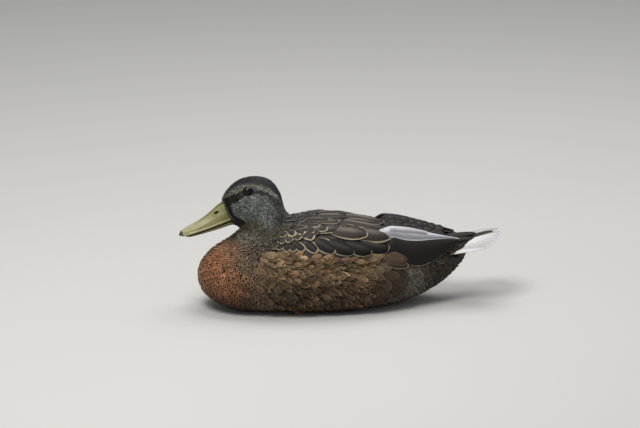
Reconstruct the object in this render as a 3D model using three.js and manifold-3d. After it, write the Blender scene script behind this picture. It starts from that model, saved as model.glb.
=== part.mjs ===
// A sitting mallard drake in its dull summer plumage, life size, as a still museum model.
// Millimetres, +Z up. The duck faces -X and its left side is -Y. The origin is on the floor under its belly.
import * as THREE from 'three';
import { mergeVertices } from 'three/addons/utils/BufferGeometryUtils.js';
import Module from 'manifold-3d';

const wasm = await Module();
wasm.setup();

// ---- Driving dimensions, in millimetres and degrees ----
const GAP = 0.35; // room left between neighbouring pieces
const LEFT = -1; // sides, as signs of Y
const RIGHT = 1;
const WELD = 1e-4; // points nearer than this are one
const BISECTIONS = 30; // halvings in the search for a station of the trunk
const HALF = 0.5;
const BALL = { around: 10, rowShare: 0.7 }; // facets of a ball, and its rows as a share of them
const FACETS = { shank: 8, toe: 6, hindToe: 5, claw: 5, nostril: 8, cap: 2, web: 2 };
const FLOOR_SLAB = { length: 600, width: 400, depth: 50 }; // all that lies below the floor

const EYE = { x: -81, y: 11.6, z: 132.2, radius: 5.6 };
const NOSTRIL = { x: -114.6, y: 6.1, z: 107.6, depth: 2.4, long: 3.1, high: 1.3, tilt: 32 };
const NAIL = { x: -150.6, z: 84.6, long: 5, wide: 4.2, thick: 2.1, tilt: 30 };

const TAIL = {
  pairs: 7, // rectrices on each side of the middle
  rootX: 128, rootZ: 56, rootSpread: 10,
  middleLength: 75, outerLength: 65, width: 15, thickness: 1.1,
  fanAngle: 24, innerTurn: 0.06, taper: 1.5, rise: 16, droop: 4.5, roll: 18, stack: 0.8,
};
// Half of a tail feather's outline: shares of its length and of its half width.
const RECTRIX = [[0, 0.6], [0.25, 0.84], [0.55, 1], [0.82, 0.9], [0.93, 0.62]];

// Room for the tail's roots in the rump. Each end is a place along the tail's axis, with half of its
// section there as distances from the axis to the side and up.
const TAIL_SOCKET = [
  { along: -7, half: [[0, 1.3], [8, 1.3], [19, -4], [19, -8.4], [8, -5.4], [0, -3.7]] },
  { along: 45, half: [[0, 1.3], [9, 1.3], [37, -8.6], [37, -12.4], [9, -5.6], [0, -3.7]] },
];

const LEG = { hockX: 54, hockY: 23, heelX: 12, y: 27, radius: 3.6, hockRise: 5 };
const TOES = [ // length, turn outwards from straight ahead, thickness
  { length: 41, turn: -20, radius: 2.1 },
  { length: 50, turn: -1, radius: 2.3 },
  { length: 46, turn: 17, radius: 2.1 },
];
const TOE_TIP_RISE = 0.85; // height of a toe's tip, as a share of its thickness
const WEB = { thickness: 1.6, scallop: 0.8, inset: 2 };
const CLAW = { length: 7, root: 3, radius: 1.7, tipHeight: 0.8 };
const HIND_TOE = { back: 9, inward: 9, radius: 1.4 };
const POCKET = { ahead: 11, behind: 11, aside: 4, above: 0.6, below: 1 }; // room round a foot in the belly

// ---- Stations of the lofts ----
// A body on the middle plane: [x top, z top, x bottom, z bottom, half width, level of widest, dome, keel].
// Level is a share of the height. Dome and keel are the superellipse powers above and below it.
const TRUNK = [
  [-134.2, 37, -134.2, 33, 2, 0.5, 2, 2],
  [-132.6, 46, -132.6, 24.5, 18, 0.5, 2, 2],
  [-127.5, 54.5, -127.5, 16, 30, 0.5, 2, 2],
  [-118, 64.5, -118, 8.5, 41, 0.48, 2, 2.1],
  [-104, 73.5, -104, 2.5, 50, 0.46, 2, 2.3],
  [-85, 82, -85, -1, 56, 0.45, 2, 2.5],
  [-60, 90.5, -60, -2.2, 58.5, 0.44, 2.1, 2.6],
  [-36, 97, -36, -2.4, 59.5, 0.43, 2.1, 2.6],
  [-12, 100.6, -12, -2.4, 60, 0.42, 2.1, 2.6],
  [14, 100.4, 14, -2.4, 59.5, 0.42, 2.1, 2.6],
  [42, 95, 42, -2.4, 57, 0.42, 2.1, 2.5],
  [70, 86.5, 70, -1.8, 51, 0.43, 2.1, 2.4],
  [96, 78, 96, 3, 43, 0.46, 2.05, 2.2],
  [118, 71.5, 118, 11, 34.5, 0.52, 2, 2.1],
  [136, 66.8, 136, 21.5, 27, 0.6, 2, 2],
  [149, 64.6, 149, 33.5, 21, 0.66, 2, 2],
  [158, 63.4, 158, 45, 15, 0.7, 2, 2],
  [164, 62.4, 164, 54, 8, 0.6, 2, 2],
];

// The head fans round the throat, from the base of the bill to the nape, and runs down into the neck.
const HEAD_AND_NECK = [
  [-108.6, 119.4, -98.6, 96.4, 9.6, 0.4, 2, 2.2],
  [-106.4, 125.6, -96.8, 94, 12.4, 0.42, 1.9, 2.2],
  [-101.6, 132.6, -94.2, 92.3, 15.6, 0.42, 1.9, 2.2],
  [-94, 139.8, -92.2, 91, 18, 0.42, 1.9, 2.2],
  [-85, 144.2, -90.6, 90.2, 19.4, 0.42, 1.95, 2.2],
  [-74, 146, -89.2, 89.9, 20.2, 0.42, 2, 2.2],
  [-63, 145, -88.2, 90, 20.6, 0.43, 2, 2.1],
  [-53.6, 140.8, -87.6, 90.2, 20.6, 0.44, 2, 2.1],
  [-46.8, 132.8, -87.2, 90.4, 20.5, 0.46, 2, 2],
  [-43, 122.6, -87.2, 90, 20.3, 0.48, 2, 2],
  [-41, 112.6, -88, 87.4, 20.6, 0.5, 2, 2],
  [-38, 104.6, -91.4, 82.4, 23.4, 0.5, 2, 2],
  [-29, 98.4, -99, 76.4, 30, 0.5, 2, 2],
  [-14, 90, -109, 68.4, 37, 0.5, 2, 2],
  [0, 76, -115, 56, 40, 0.5, 2, 2],
];
const NECK_FROM = 9; // the station where the head ends and the neck begins
const NECK_UNDER_HEAD = 0.6; // stations that the neck runs up inside the head
// The slanting cut between neck and trunk.
const NECK_SEAM = { x: -70, z: 86.4, slope: 22.5, length: 110, width: 130, height: 60 };

const UPPER_BILL = [
  [-102, 120.5, -94.6, 99.4, 9, 0.12, 1.75, 2.6],
  [-109.6, 117.6, -101.2, 97.4, 9.9, 0.1, 1.75, 2.6],
  [-116, 111.9, -108, 94.8, 9.9, 0.1, 1.8, 2.6],
  [-122.4, 106.3, -115.4, 92.2, 9.7, 0.12, 1.9, 2.6],
  [-129.2, 101, -123, 89.7, 9.8, 0.14, 2, 2.6],
  [-136.2, 96.4, -130.8, 87.4, 10.5, 0.18, 2.1, 2.6],
  [-142.8, 92.6, -138.2, 85.2, 11.2, 0.24, 2.2, 2.4],
  [-148.2, 89.4, -145.2, 83.1, 10.3, 0.3, 2.2, 2.2],
  [-152.4, 86.8, -150.6, 81.2, 7.2, 0.36, 2.1, 2.1],
  [-154.2, 84.8, -153.6, 82, 2.4, 0.5, 2, 2],
];
const LOWER_BILL = [
  [-93.6, 98.6, -92.6, 93.4, 7.6, 0.7, 2.4, 2],
  [-101, 96.9, -99.8, 92.2, 8.9, 0.7, 2.6, 2],
  [-107.8, 94.4, -107, 89.8, 9, 0.7, 2.6, 2],
  [-115.2, 91.8, -114.6, 87.6, 8.9, 0.7, 2.6, 2],
  [-122.8, 89.3, -122.4, 85.6, 9.1, 0.7, 2.6, 2],
  [-130.6, 87, -130.4, 83.8, 9.7, 0.7, 2.6, 2],
  [-138, 84.8, -138, 82.2, 9.9, 0.7, 2.6, 2],
  [-144.4, 82.9, -144.4, 80.9, 8.2, 0.7, 2.4, 2],
  [-147.8, 81.8, -147.8, 80.6, 3, 0.6, 2, 2],
];

// A pad that lies on the trunk: [x, upper edge, lower edge, thickness]. The edges are angles round the
// trunk's section, in degrees from the middle of the back.
const WING = [
  [-71, 50, 60, 1],
  [-66, 43, 71, 3],
  [-56, 36, 79, 4.4],
  [-38, 28, 84, 5.4],
  [-12, 24, 86, 6],
  [14, 23, 86, 6],
  [38, 24, 81, 6.6],
  [58, 27, 70, 7.2],
  [72, 31, 59, 8],
  [81, 36, 52, 8],
  [87, 41, 46, 6],
];
const FLANK = [
  [-80, 64, 84, 1.2],
  [-77, 54, 97, 3.6],
  [-70, 47, 111, 5],
  [-57, 46, 129, 6.2],
  [-34, 54, 141, 7.2],
  [-6, 60, 146, 7.6],
  [22, 61, 146, 7.6],
  [46, 56, 141, 7.4],
  [62, 50, 132, 7],
  [76, 51, 119, 6.4],
  [88, 59, 106, 5.2],
  [96, 69, 95, 3.4],
  [100, 76, 87, 1.2],
];
const PAD = { sunkEdge: 1, depth: 3.2, roundness: 2.6 }; // how a pad is bedded in the trunk

// A piece that stands off the side:
// [x, y upper edge, z upper edge, y lower edge, z lower edge, outward, inward].
// Y counts away from the middle plane, and outward and inward are its thickness on each side of its chord.
const TERTIALS = [
  [44, 30, 89, 56, 50, 1.4, 0.6],
  [60, 29.4, 90.6, 54, 47.6, 2.2, 1],
  [76, 28.4, 89.6, 49.6, 45.4, 4, 1.2],
  [92, 27, 87, 45, 45.6, 5.8, 1.2],
  [108, 25.6, 83, 39.4, 47.6, 5.2, 1.2],
  [126, 23, 78.4, 32, 54.4, 3.4, 1.1],
  [141, 20, 74.4, 24.6, 63.6, 1.9, 1],
  [152, 17.6, 71.4, 18.2, 69.2, 0.8, 0.8],
];
const PRIMARIES = [
  [92, 22, 79.4, 30, 66, 1.6, 1],
  [116, 18.4, 75.2, 25, 63.6, 1.6, 1],
  [140, 14, 71.4, 18, 64, 1.3, 0.9],
  [160, 9.4, 69.2, 10.8, 65.4, 1, 0.8],
  [174, 6.6, 68.6, 7, 67, 0.7, 0.7],
];
// ---- Solids ----
function solid(geometry) {
  const bare = geometry.clone();
  bare.deleteAttribute('normal');
  bare.deleteAttribute('uv');
  const merged = mergeVertices(bare, WELD);
  const vertProperties = merged.attributes.position.array;
  const triVerts = new Uint32Array(merged.index.array);
  const made = new wasm.Manifold(new wasm.Mesh({ numProp: 3, vertProperties, triVerts }));
  if (made.volume() > 0) return made;
  for (let i = 0; i < triVerts.length; i += 3) {
    [triVerts[i + 1], triVerts[i + 2]] = [triVerts[i + 2], triVerts[i + 1]];
  }
  return new wasm.Manifold(new wasm.Mesh({ numProp: 3, vertProperties, triVerts }));
}

const cut = (body, ...tools) => tools.reduce((left, tool) => left.subtract(tool), body);
const join = (...bodies) => bodies.reduce((sum, body) => sum.add(body));
const largest = (body) => body.decompose().sort((a, b) => b.volume() - a.volume())[0];

function geometryOf(body) {
  const mesh = body.getMesh();
  const geometry = new THREE.BufferGeometry();
  geometry.setAttribute('position', new THREE.BufferAttribute(new Float32Array(mesh.vertProperties), 3));
  geometry.setIndex(new THREE.BufferAttribute(new Uint32Array(mesh.triVerts), 1));
  const flat = geometry.toNonIndexed();
  flat.computeVertexNormals();
  return flat;
}

// Smooth values through rows of numbers: row i is met at t = i.
function smoothRows(rows) {
  const columns = rows[0].map((_, c) => rows.map((row) => row[c]));
  const inside = (i) => THREE.MathUtils.clamp(i, 0, rows.length - 1);
  return (t) => {
    const i = Math.min(Math.floor(t), rows.length - 2);
    return columns.map((column) => {
      const [a, b, c, d] = [-1, 0, 1, 2].map((k) => column[inside(i + k)]);
      const u = t - i;
      return b + 0.5 * u * (c - a + u * (2 * a - 5 * b + 4 * c - d + u * (3 * (b - c) + d - a)));
    });
  };
}

// The points of one section. Angle 0 is its top, and it goes round by its outer side.
function section({ top, bottom, lateral, outer, inner, level, dome, keel }, count) {
  const widest = bottom.clone().lerp(top, level);
  const up = top.clone().sub(widest);
  const down = bottom.clone().sub(widest);
  return Array.from({ length: count }, (_, i) => {
    const angle = (2 * Math.PI * i) / count;
    const c = Math.cos(angle);
    const s = Math.sin(angle);
    const power = 2 / (c > 0 ? dome : keel);
    const side = Math.sign(s) * Math.abs(s) ** power * (s > 0 ? outer : inner);
    return widest.clone()
      .addScaledVector(c > 0 ? up : down, Math.abs(c) ** power)
      .addScaledVector(lateral, side);
  });
}

// One closed skin over a row of sections with the same number of points.
function skinOver(rings) {
  const count = rings[0].length;
  const positions = rings.flat().flatMap((p) => [p.x, p.y, p.z]);
  const index = [];
  for (let r = 0; r + 1 < rings.length; r += 1) {
    for (let i = 0; i < count; i += 1) {
      const j = (i + 1) % count;
      const [a, b, c, d] = [r * count + i, r * count + j, (r + 1) * count + i, (r + 1) * count + j];
      index.push(a, b, d, a, d, c);
    }
  }
  [[0, true], [rings.length - 1, false]].forEach(([r, first]) => {
    const middle = rings[r].reduce((sum, p) => sum.add(p), new THREE.Vector3()).divideScalar(count);
    const hub = positions.length / 3;
    positions.push(middle.x, middle.y, middle.z);
    for (let i = 0; i < count; i += 1) {
      const edge = [r * count + i, r * count + ((i + 1) % count)];
      index.push(hub, ...(first ? edge.reverse() : edge));
    }
  });
  const geometry = new THREE.BufferGeometry();
  geometry.setAttribute('position', new THREE.Float32BufferAttribute(positions, 3));
  geometry.setIndex(index);
  return solid(geometry);
}

// Sections grown by `grow` all round, with the two end sections pushed out by the same.
function grownSections(sections, grow) {
  const centre = (s) => s.top.clone().add(s.bottom).multiplyScalar(HALF);
  const last = sections.length - 1;
  const pushes = new Map([
    [0, centre(sections[0]).sub(centre(sections[1])).setLength(grow)],
    [last, centre(sections[last]).sub(centre(sections[last - 1])).setLength(grow)],
  ]);
  return sections.map((s, i) => {
    const reach = s.top.clone().sub(s.bottom).setLength(grow);
    const push = pushes.get(i) ?? new THREE.Vector3();
    return {
      ...s,
      top: s.top.clone().add(reach).add(push),
      bottom: s.bottom.clone().sub(reach).add(push),
      outer: s.outer + grow,
      inner: s.inner + grow,
    };
  });
}

// A body on the middle plane, from station `from` to station `to`.
function middleBody(rows, { rings, around, grow = 0, from = 0, to = rows.length - 1 }) {
  const at = smoothRows(rows);
  const sections = Array.from({ length: rings }, (_, i) => {
    const station = from + ((to - from) * i) / (rings - 1);
    const [topX, topZ, bottomX, bottomZ, half, level, dome, keel] = at(station);
    return {
      top: new THREE.Vector3(topX, 0, topZ),
      bottom: new THREE.Vector3(bottomX, 0, bottomZ),
      lateral: new THREE.Vector3(0, 1, 0),
      outer: half, inner: half, level, dome, keel,
    };
  });
  return skinOver(grownSections(sections, grow).map((s) => section(s, around)));
}

// A piece that hugs one side of the body.
function sideBody(rows, side, { rings, around, grow = 0 }) {
  const at = smoothRows(rows);
  const sections = Array.from({ length: rings }, (_, i) => {
    const [x, upperY, upperZ, lowerY, lowerZ, outer, inner] = at(((rows.length - 1) * i) / (rings - 1));
    const top = new THREE.Vector3(x, side * upperY, upperZ);
    const bottom = new THREE.Vector3(x, side * lowerY, lowerZ);
    const chord = top.clone().sub(bottom).normalize();
    const lateral = new THREE.Vector3(0, side * chord.z, -side * chord.y);
    return { top, bottom, lateral, outer, inner, level: HALF, dome: 2, keel: 2 };
  });
  return skinOver(grownSections(sections, grow).map((s) => section(s, around)));
}

// The point and the outward direction on the trunk's section at x, `angle` degrees from the middle of
// the back.
function onTrunk(x, angle) {
  const at = smoothRows(TRUNK);
  let [low, high] = [0, TRUNK.length - 1];
  for (let step = 0; step < BISECTIONS; step += 1) {
    const middle = (low + high) / 2;
    if (at(middle)[0] < x) low = middle;
    else high = middle;
  }
  const [, topZ, , bottomZ, half, level, dome, keel] = at(low);
  const spot = (degrees) => {
    const radians = THREE.MathUtils.degToRad(degrees);
    const [c, s] = [Math.cos(radians), Math.sin(radians)];
    const widest = THREE.MathUtils.lerp(bottomZ, topZ, level);
    const reach = c > 0 ? topZ - widest : bottomZ - widest;
    const power = 2 / (c > 0 ? dome : keel);
    return new THREE.Vector3(x, half * s ** power, widest + reach * Math.abs(c) ** power);
  };
  const along = spot(angle + 1).sub(spot(angle - 1)).normalize();
  return { point: spot(angle), outward: new THREE.Vector3(0, -along.z, along.y) };
}

// A pad that lies on one side of the trunk and is thickest along its middle.
function padBody(rows, side, { rings, around, grow = 0 }) {
  const at = smoothRows(rows);
  const span = around / 2;
  const loops = Array.from({ length: rings }, (_, r) => {
    const [x, upper, lower, thickness] = at(((rows.length - 1) * r) / (rings - 1));
    const push = { 0: -grow, [rings - 1]: grow }[r] ?? 0;
    const loop = Array.from({ length: around }, (_, i) => {
      const outerFace = i <= span;
      const turn = Math.PI * (outerFace ? i / span : (around - i) / span);
      const across = (1 - Math.cos(turn)) / 2;
      const profile = (1 - Math.abs(2 * across - 1) ** PAD.roundness) ** (1 / PAD.roundness);
      const { point, outward } = onTrunk(x, THREE.MathUtils.lerp(upper, lower, across));
      const height = (outerFace ? thickness : -PAD.depth) * profile - PAD.sunkEdge;
      return point.addScaledVector(outward, height);
    });
    return loop.map((point, i) => {
      const along = loop[(i + 1) % around].clone().sub(loop[(i + around - 1) % around]).normalize();
      const moved = point.clone().addScaledVector(new THREE.Vector3(0, -along.z, along.y), grow);
      return new THREE.Vector3(moved.x + push, side * moved.y, moved.z);
    });
  });
  return skinOver(loops);
}

// An ellipsoid: half sizes along its own axes, turned about Y by tilt degrees.
function ellipsoid(at, half, tilt = 0, around = BALL.around) {
  const geometry = new THREE.SphereGeometry(1, around, Math.round(around * BALL.rowShare));
  geometry.scale(half.x, half.y, half.z);
  geometry.rotateY(THREE.MathUtils.degToRad(tilt));
  geometry.translate(at.x, at.y, at.z);
  return solid(geometry);
}

// A rod with round ends between two points.
function rod(start, end, radius, around, grow = 0) {
  const geometry = new THREE.CapsuleGeometry(radius + grow, start.distanceTo(end), FACETS.cap, around);
  const way = end.clone().sub(start).normalize();
  geometry.applyQuaternion(new THREE.Quaternion().setFromUnitVectors(new THREE.Vector3(0, 1, 0), way));
  geometry.translate(...start.clone().lerp(end, HALF).toArray());
  return solid(geometry);
}

function slabUnderFloor() {
  const geometry = new THREE.BoxGeometry(FLOOR_SLAB.length, FLOOR_SLAB.width, FLOOR_SLAB.depth);
  geometry.translate(0, 0, -FLOOR_SLAB.depth / 2);
  return solid(geometry);
}
const floorCut = (body) => cut(body, slabUnderFloor());

// All that lies above the slanting plane where the neck meets the trunk.
function aboveNeckSeam(grow = 0) {
  const geometry = new THREE.BoxGeometry(NECK_SEAM.length, NECK_SEAM.width, NECK_SEAM.height);
  geometry.translate(0, 0, NECK_SEAM.height / 2 - grow);
  geometry.rotateY(THREE.MathUtils.degToRad(-NECK_SEAM.slope));
  geometry.translate(NECK_SEAM.x, 0, NECK_SEAM.z);
  return solid(geometry);
}

// ---- Tail ----
// One tail feather lies flat along +X: narrow root, parallel vanes and a rounded point.
function rectrix(length) {
  const half = TAIL.width / 2;
  const upper = RECTRIX.map(([along, across]) => new THREE.Vector2(length * along, half * across));
  const lower = upper.map((point) => new THREE.Vector2(point.x, -point.y)).reverse();
  const shape = new THREE.Shape([...upper, new THREE.Vector2(length, 0), ...lower]);
  const geometry = new THREE.ExtrudeGeometry(shape, { depth: TAIL.thickness, bevelEnabled: false });
  geometry.translate(0, 0, -TAIL.thickness / 2);
  return geometry;
}

// The fan: each pair lies lower, shorter and turned further out than the one before it.
function tailFan() {
  const feathers = [];
  for (let pair = 0; pair < TAIL.pairs; pair += 1) {
    const share = pair / (TAIL.pairs - 1);
    const length = THREE.MathUtils.lerp(TAIL.middleLength, TAIL.outerLength, share ** TAIL.taper);
    [LEFT, RIGHT].forEach((side) => {
      const turn = THREE.MathUtils.degToRad(side * TAIL.fanAngle * (share + TAIL.innerTurn));
      const geometry = rectrix(length);
      geometry.rotateX(THREE.MathUtils.degToRad(-side * TAIL.roll * share));
      geometry.rotateY(THREE.MathUtils.degToRad(-TAIL.rise + TAIL.droop * share));
      geometry.rotateZ(turn);
      geometry.translate(TAIL.rootX, side * TAIL.rootSpread * share, TAIL.rootZ - TAIL.stack * pair);
      feathers.push(solid(geometry));
    });
  }
  return join(...feathers);
}

// The room that the roots of the tail take in the rump.
function tailSocket() {
  const axis = new THREE.Vector3(0, 1, 0);
  const loops = TAIL_SOCKET.map(({ along, half }) => {
    const mirrored = half.slice(1, -1).reverse().map(([y, z]) => [-y, z]);
    return [...half, ...mirrored].map(([y, z]) => {
      const point = new THREE.Vector3(along, y, z);
      point.applyAxisAngle(axis, THREE.MathUtils.degToRad(-TAIL.rise));
      return point.add(new THREE.Vector3(TAIL.rootX, 0, TAIL.rootZ));
    });
  });
  return skinOver(loops);
}

// ---- Legs, folded under the belly ----
const heel = (side) => new THREE.Vector3(LEG.heelX, side * LEG.y, LEG.radius);
const hock = (side) => new THREE.Vector3(LEG.hockX, side * LEG.hockY, LEG.radius + LEG.hockRise);
const shankStart = (side) => {
  const start = heel(side);
  const way = hock(side).sub(start);
  return start.add(way.setLength(LEG.radius + TOES[1].radius + GAP));
};
const shank = (side, grow = 0) => floorCut(
  rod(shankStart(side), hock(side), LEG.radius, FACETS.shank, grow),
);

function toeTip(toe, side, reach = toe.length) {
  const turn = THREE.MathUtils.degToRad(toe.turn);
  const x = LEG.heelX - reach * Math.cos(turn);
  return new THREE.Vector3(x, side * (LEG.y + reach * Math.sin(turn)), toe.radius * TOE_TIP_RISE);
}

// An outline round a foot, from its heel over the tips of its toes.
function footShape(side, scallop, room = { ahead: 0, behind: 0, aside: 0 }) {
  const root = new THREE.Vector3(LEG.heelX + room.behind, side * LEG.y, 0);
  const tips = TOES.map((toe) => toeTip(toe, side, toe.length - WEB.inset + room.ahead));
  const shape = new THREE.Shape();
  shape.moveTo(root.x, root.y - side * room.behind);
  shape.lineTo(tips[0].x, tips[0].y - side * room.aside);
  [1, 2].forEach((i) => {
    const dip = tips[i - 1].clone().lerp(tips[i], HALF).lerp(root, 1 - scallop);
    const outwards = i === 2 ? side * room.aside : 0;
    shape.quadraticCurveTo(dip.x, dip.y, tips[i].x, tips[i].y + outwards);
  });
  shape.lineTo(root.x, root.y + side * room.behind);
  return shape;
}

// A claw runs on from the tip of its toe and ends in a point.
function claw(toe, side) {
  const root = toeTip(toe, side, toe.length - CLAW.root);
  const tip = toeTip(toe, side, toe.length + CLAW.length);
  tip.z = CLAW.tipHeight;
  const length = root.distanceTo(tip);
  const geometry = new THREE.ConeGeometry(CLAW.radius, length, FACETS.claw);
  const way = tip.clone().sub(root).normalize();
  geometry.applyQuaternion(new THREE.Quaternion().setFromUnitVectors(new THREE.Vector3(0, 1, 0), way));
  geometry.translate(...root.lerp(tip, HALF).toArray());
  return solid(geometry);
}

function foot(side) {
  const root = new THREE.Vector3(LEG.heelX, side * LEG.y, TOES[1].radius);
  const toes = TOES.map((toe) => rod(root, toeTip(toe, side), toe.radius, FACETS.toe));
  const claws = TOES.map((toe) => claw(toe, side));
  const shape = footShape(side, WEB.scallop);
  const web = new THREE.ExtrudeGeometry(shape, {
    depth: WEB.thickness, curveSegments: FACETS.web, bevelEnabled: false,
  });
  const hindToe = rod(
    new THREE.Vector3(LEG.heelX, side * LEG.y, HIND_TOE.radius),
    new THREE.Vector3(LEG.heelX + HIND_TOE.back, side * (LEG.y - HIND_TOE.inward), HIND_TOE.radius),
    HIND_TOE.radius, FACETS.hindToe,
  );
  return floorCut(join(solid(web), ...toes, ...claws, hindToe));
}

// The room that a foot takes in the belly: one low block round all its toes.
function footPocket(side) {
  const depth = TOES[1].radius * 2 + POCKET.above + POCKET.below;
  const shape = footShape(side, 1, POCKET);
  const geometry = new THREE.ExtrudeGeometry(shape, { depth, curveSegments: 1, bevelEnabled: false });
  geometry.translate(0, 0, -POCKET.below);
  return solid(geometry);
}

// ---- Head pieces ----
const eyeball = (side, grow = 0) => {
  const r = EYE.radius + grow;
  return ellipsoid(new THREE.Vector3(EYE.x, side * EYE.y, EYE.z), new THREE.Vector3(r, r, r));
};

function nostril(side) {
  const at = new THREE.Vector3(NOSTRIL.x, side * NOSTRIL.y, NOSTRIL.z);
  const half = new THREE.Vector3(NOSTRIL.long, NOSTRIL.depth, NOSTRIL.high);
  return ellipsoid(at, half, -NOSTRIL.tilt, FACETS.nostril);
}

const nail = (grow = 0) => ellipsoid(
  new THREE.Vector3(NAIL.x, 0, NAIL.z),
  new THREE.Vector3(NAIL.long + grow, NAIL.wide + grow, NAIL.thick + grow), -NAIL.tilt,
);

// ---- Everything that overlaps, in the order that it is cut ----
const SIZES = {
  trunk: { rings: 23, around: 24 },
  head: { rings: 16, around: 20, to: NECK_FROM },
  neck: { rings: 8, around: 20, from: NECK_FROM - NECK_UNDER_HEAD },
  upperBill: { rings: 13, around: 12 },
  lowerBill: { rings: 8, around: 10 },
  wing: { rings: 13, around: 10 },
  tertials: { rings: 8, around: 8 },
  primaries: { rings: 6, around: 6 },
  flank: { rings: 15, around: 10 },
};
const sideOf = {
  wing: (side, grow = 0) => padBody(WING, side, { ...SIZES.wing, grow }),
  tertials: (side, grow = 0) => sideBody(TERTIALS, side, { ...SIZES.tertials, grow }),
  primaries: (side, grow = 0) => sideBody(PRIMARIES, side, { ...SIZES.primaries, grow }),
  flank: (side, grow = 0) => padBody(FLANK, side, { ...SIZES.flank, grow }),
};
const headBody = (grow = 0) => middleBody(HEAD_AND_NECK, { ...SIZES.head, grow });
const upperBill = (grow = 0) => middleBody(UPPER_BILL, { ...SIZES.upperBill, grow });
const lowerBill = (grow = 0) => middleBody(LOWER_BILL, { ...SIZES.lowerBill, grow });

const bothSides = (make) => [make(LEFT, GAP), make(RIGHT, GAP)];
const sidePieces = Object.values(sideOf).flatMap(bothSides);
const legPockets = [...bothSides(shank), ...bothSides(footPocket)];

const trunkAndNeck = join(middleBody(TRUNK, SIZES.trunk), middleBody(HEAD_AND_NECK, SIZES.neck));
const trunkTools = [aboveNeckSeam(GAP), ...sidePieces, ...legPockets, tailSocket()];
const trunk = largest(floorCut(cut(trunkAndNeck, ...trunkTools)));
const neck = largest(cut(trunkAndNeck.intersect(aboveNeckSeam()), headBody(GAP), ...sidePieces));
const head = largest(cut(headBody(), upperBill(GAP), lowerBill(GAP), ...bothSides(eyeball)));
const maxilla = largest(cut(upperBill(), nail(GAP), nostril(LEFT), nostril(RIGHT)));
const mandible = largest(cut(lowerBill(), upperBill(GAP), nail(GAP)));
const tail = largest(cut(tailFan(), ...bothSides(sideOf.primaries)));

// ---- Materials ----
const finish = (color, roughness) => new THREE.MeshStandardMaterial({ color, roughness, metalness: 0 });
const MATERIALS = {
  chestnut: finish(0x7a4a30, 0.85),
  greyBrown: finish(0x6e675c, 0.85),
  capBrown: finish(0x4a423c, 0.85),
  darkBrown: finish(0x3b332d, 0.8),
  tawny: finish(0x7d6144, 0.85),
  tertialBrown: finish(0x554c45, 0.7),
  tailWhite: finish(0xe4ddd6, 0.75),
  olive: finish(0xa8a067, 0.45),
  black: finish(0x15130f, 0.4),
  eye: finish(0x120c08, 0.08),
  orange: finish(0xc66a2b, 0.6),
};

// ---- The duck ----
const duck = new THREE.Group();
duck.name = 'mallard';

function addNode(group, name, body, material) {
  const mesh = new THREE.Mesh(geometryOf(body), material);
  mesh.name = name;
  group.add(mesh);
}

addNode(duck, 'trunk', trunk, MATERIALS.chestnut);
addNode(duck, 'neck', neck, MATERIALS.greyBrown);
addNode(duck, 'head', head, MATERIALS.capBrown);
addNode(duck, 'bill_upper', maxilla, MATERIALS.olive);
addNode(duck, 'bill_lower', mandible, MATERIALS.olive);
addNode(duck, 'bill_nail', nail(), MATERIALS.black);
addNode(duck, 'tail', tail, MATERIALS.tailWhite);

[['left', LEFT], ['right', RIGHT]].forEach(([word, side]) => {
  const half = new THREE.Group();
  half.name = `${word}_side`;
  const over = sideOf.flank(side, GAP);
  const shoulder = sideOf.wing(side, GAP);
  const tertials = sideOf.tertials(side, GAP);
  const wing = largest(cut(sideOf.wing(side), over));
  const longFeathers = largest(cut(sideOf.tertials(side), over, shoulder));
  const primaries = largest(cut(sideOf.primaries(side), over, shoulder, tertials));
  const flank = largest(cut(floorCut(sideOf.flank(side)), footPocket(side), shank(side, GAP)));
  addNode(half, `wing_${word}`, wing, MATERIALS.darkBrown);
  addNode(half, `tertials_${word}`, longFeathers, MATERIALS.tertialBrown);
  addNode(half, `primaries_${word}`, primaries, MATERIALS.darkBrown);
  addNode(half, `flank_${word}`, flank, MATERIALS.tawny);
  addNode(half, `eye_${word}`, eyeball(side), MATERIALS.eye);
  addNode(half, `leg_${word}`, shank(side), MATERIALS.orange);
  addNode(half, `foot_${word}`, foot(side), MATERIALS.orange);
  duck.add(half);
});

export default duck;
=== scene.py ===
"""A sitting mallard drake in dull summer plumage: skin, feathers, bill, eyes, feet and a plain studio."""
import math

import bmesh
import bpy
import numpy as np
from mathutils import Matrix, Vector, noise
from mathutils.bvhtree import BVHTree
from mathutils.kdtree import KDTree


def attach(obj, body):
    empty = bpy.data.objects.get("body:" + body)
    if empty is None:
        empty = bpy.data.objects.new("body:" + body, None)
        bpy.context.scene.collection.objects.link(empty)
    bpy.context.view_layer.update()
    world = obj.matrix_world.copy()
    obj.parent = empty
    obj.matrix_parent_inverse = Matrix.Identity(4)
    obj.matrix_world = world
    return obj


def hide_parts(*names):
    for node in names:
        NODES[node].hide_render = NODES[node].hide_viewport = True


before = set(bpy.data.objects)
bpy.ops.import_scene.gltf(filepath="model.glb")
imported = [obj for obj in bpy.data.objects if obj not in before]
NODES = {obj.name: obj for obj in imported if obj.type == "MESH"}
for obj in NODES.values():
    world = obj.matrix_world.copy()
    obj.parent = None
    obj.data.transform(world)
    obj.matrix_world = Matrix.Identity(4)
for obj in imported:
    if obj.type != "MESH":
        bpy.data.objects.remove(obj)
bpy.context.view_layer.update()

bl_info = {
    "name": "Sitting mallard drake",
    "version": (1, 0, 0),
    "blender": (4, 5, 0),
    "location": "View3D > Sidebar > Drake",
    "description": "Builds a life-size drake in dull summer plumage round its packed solids",
    "category": "Object",
}

MM = 0.001
LEFT, RIGHT = -1, 1
SIDES = {"left": LEFT, "right": RIGHT}

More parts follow.
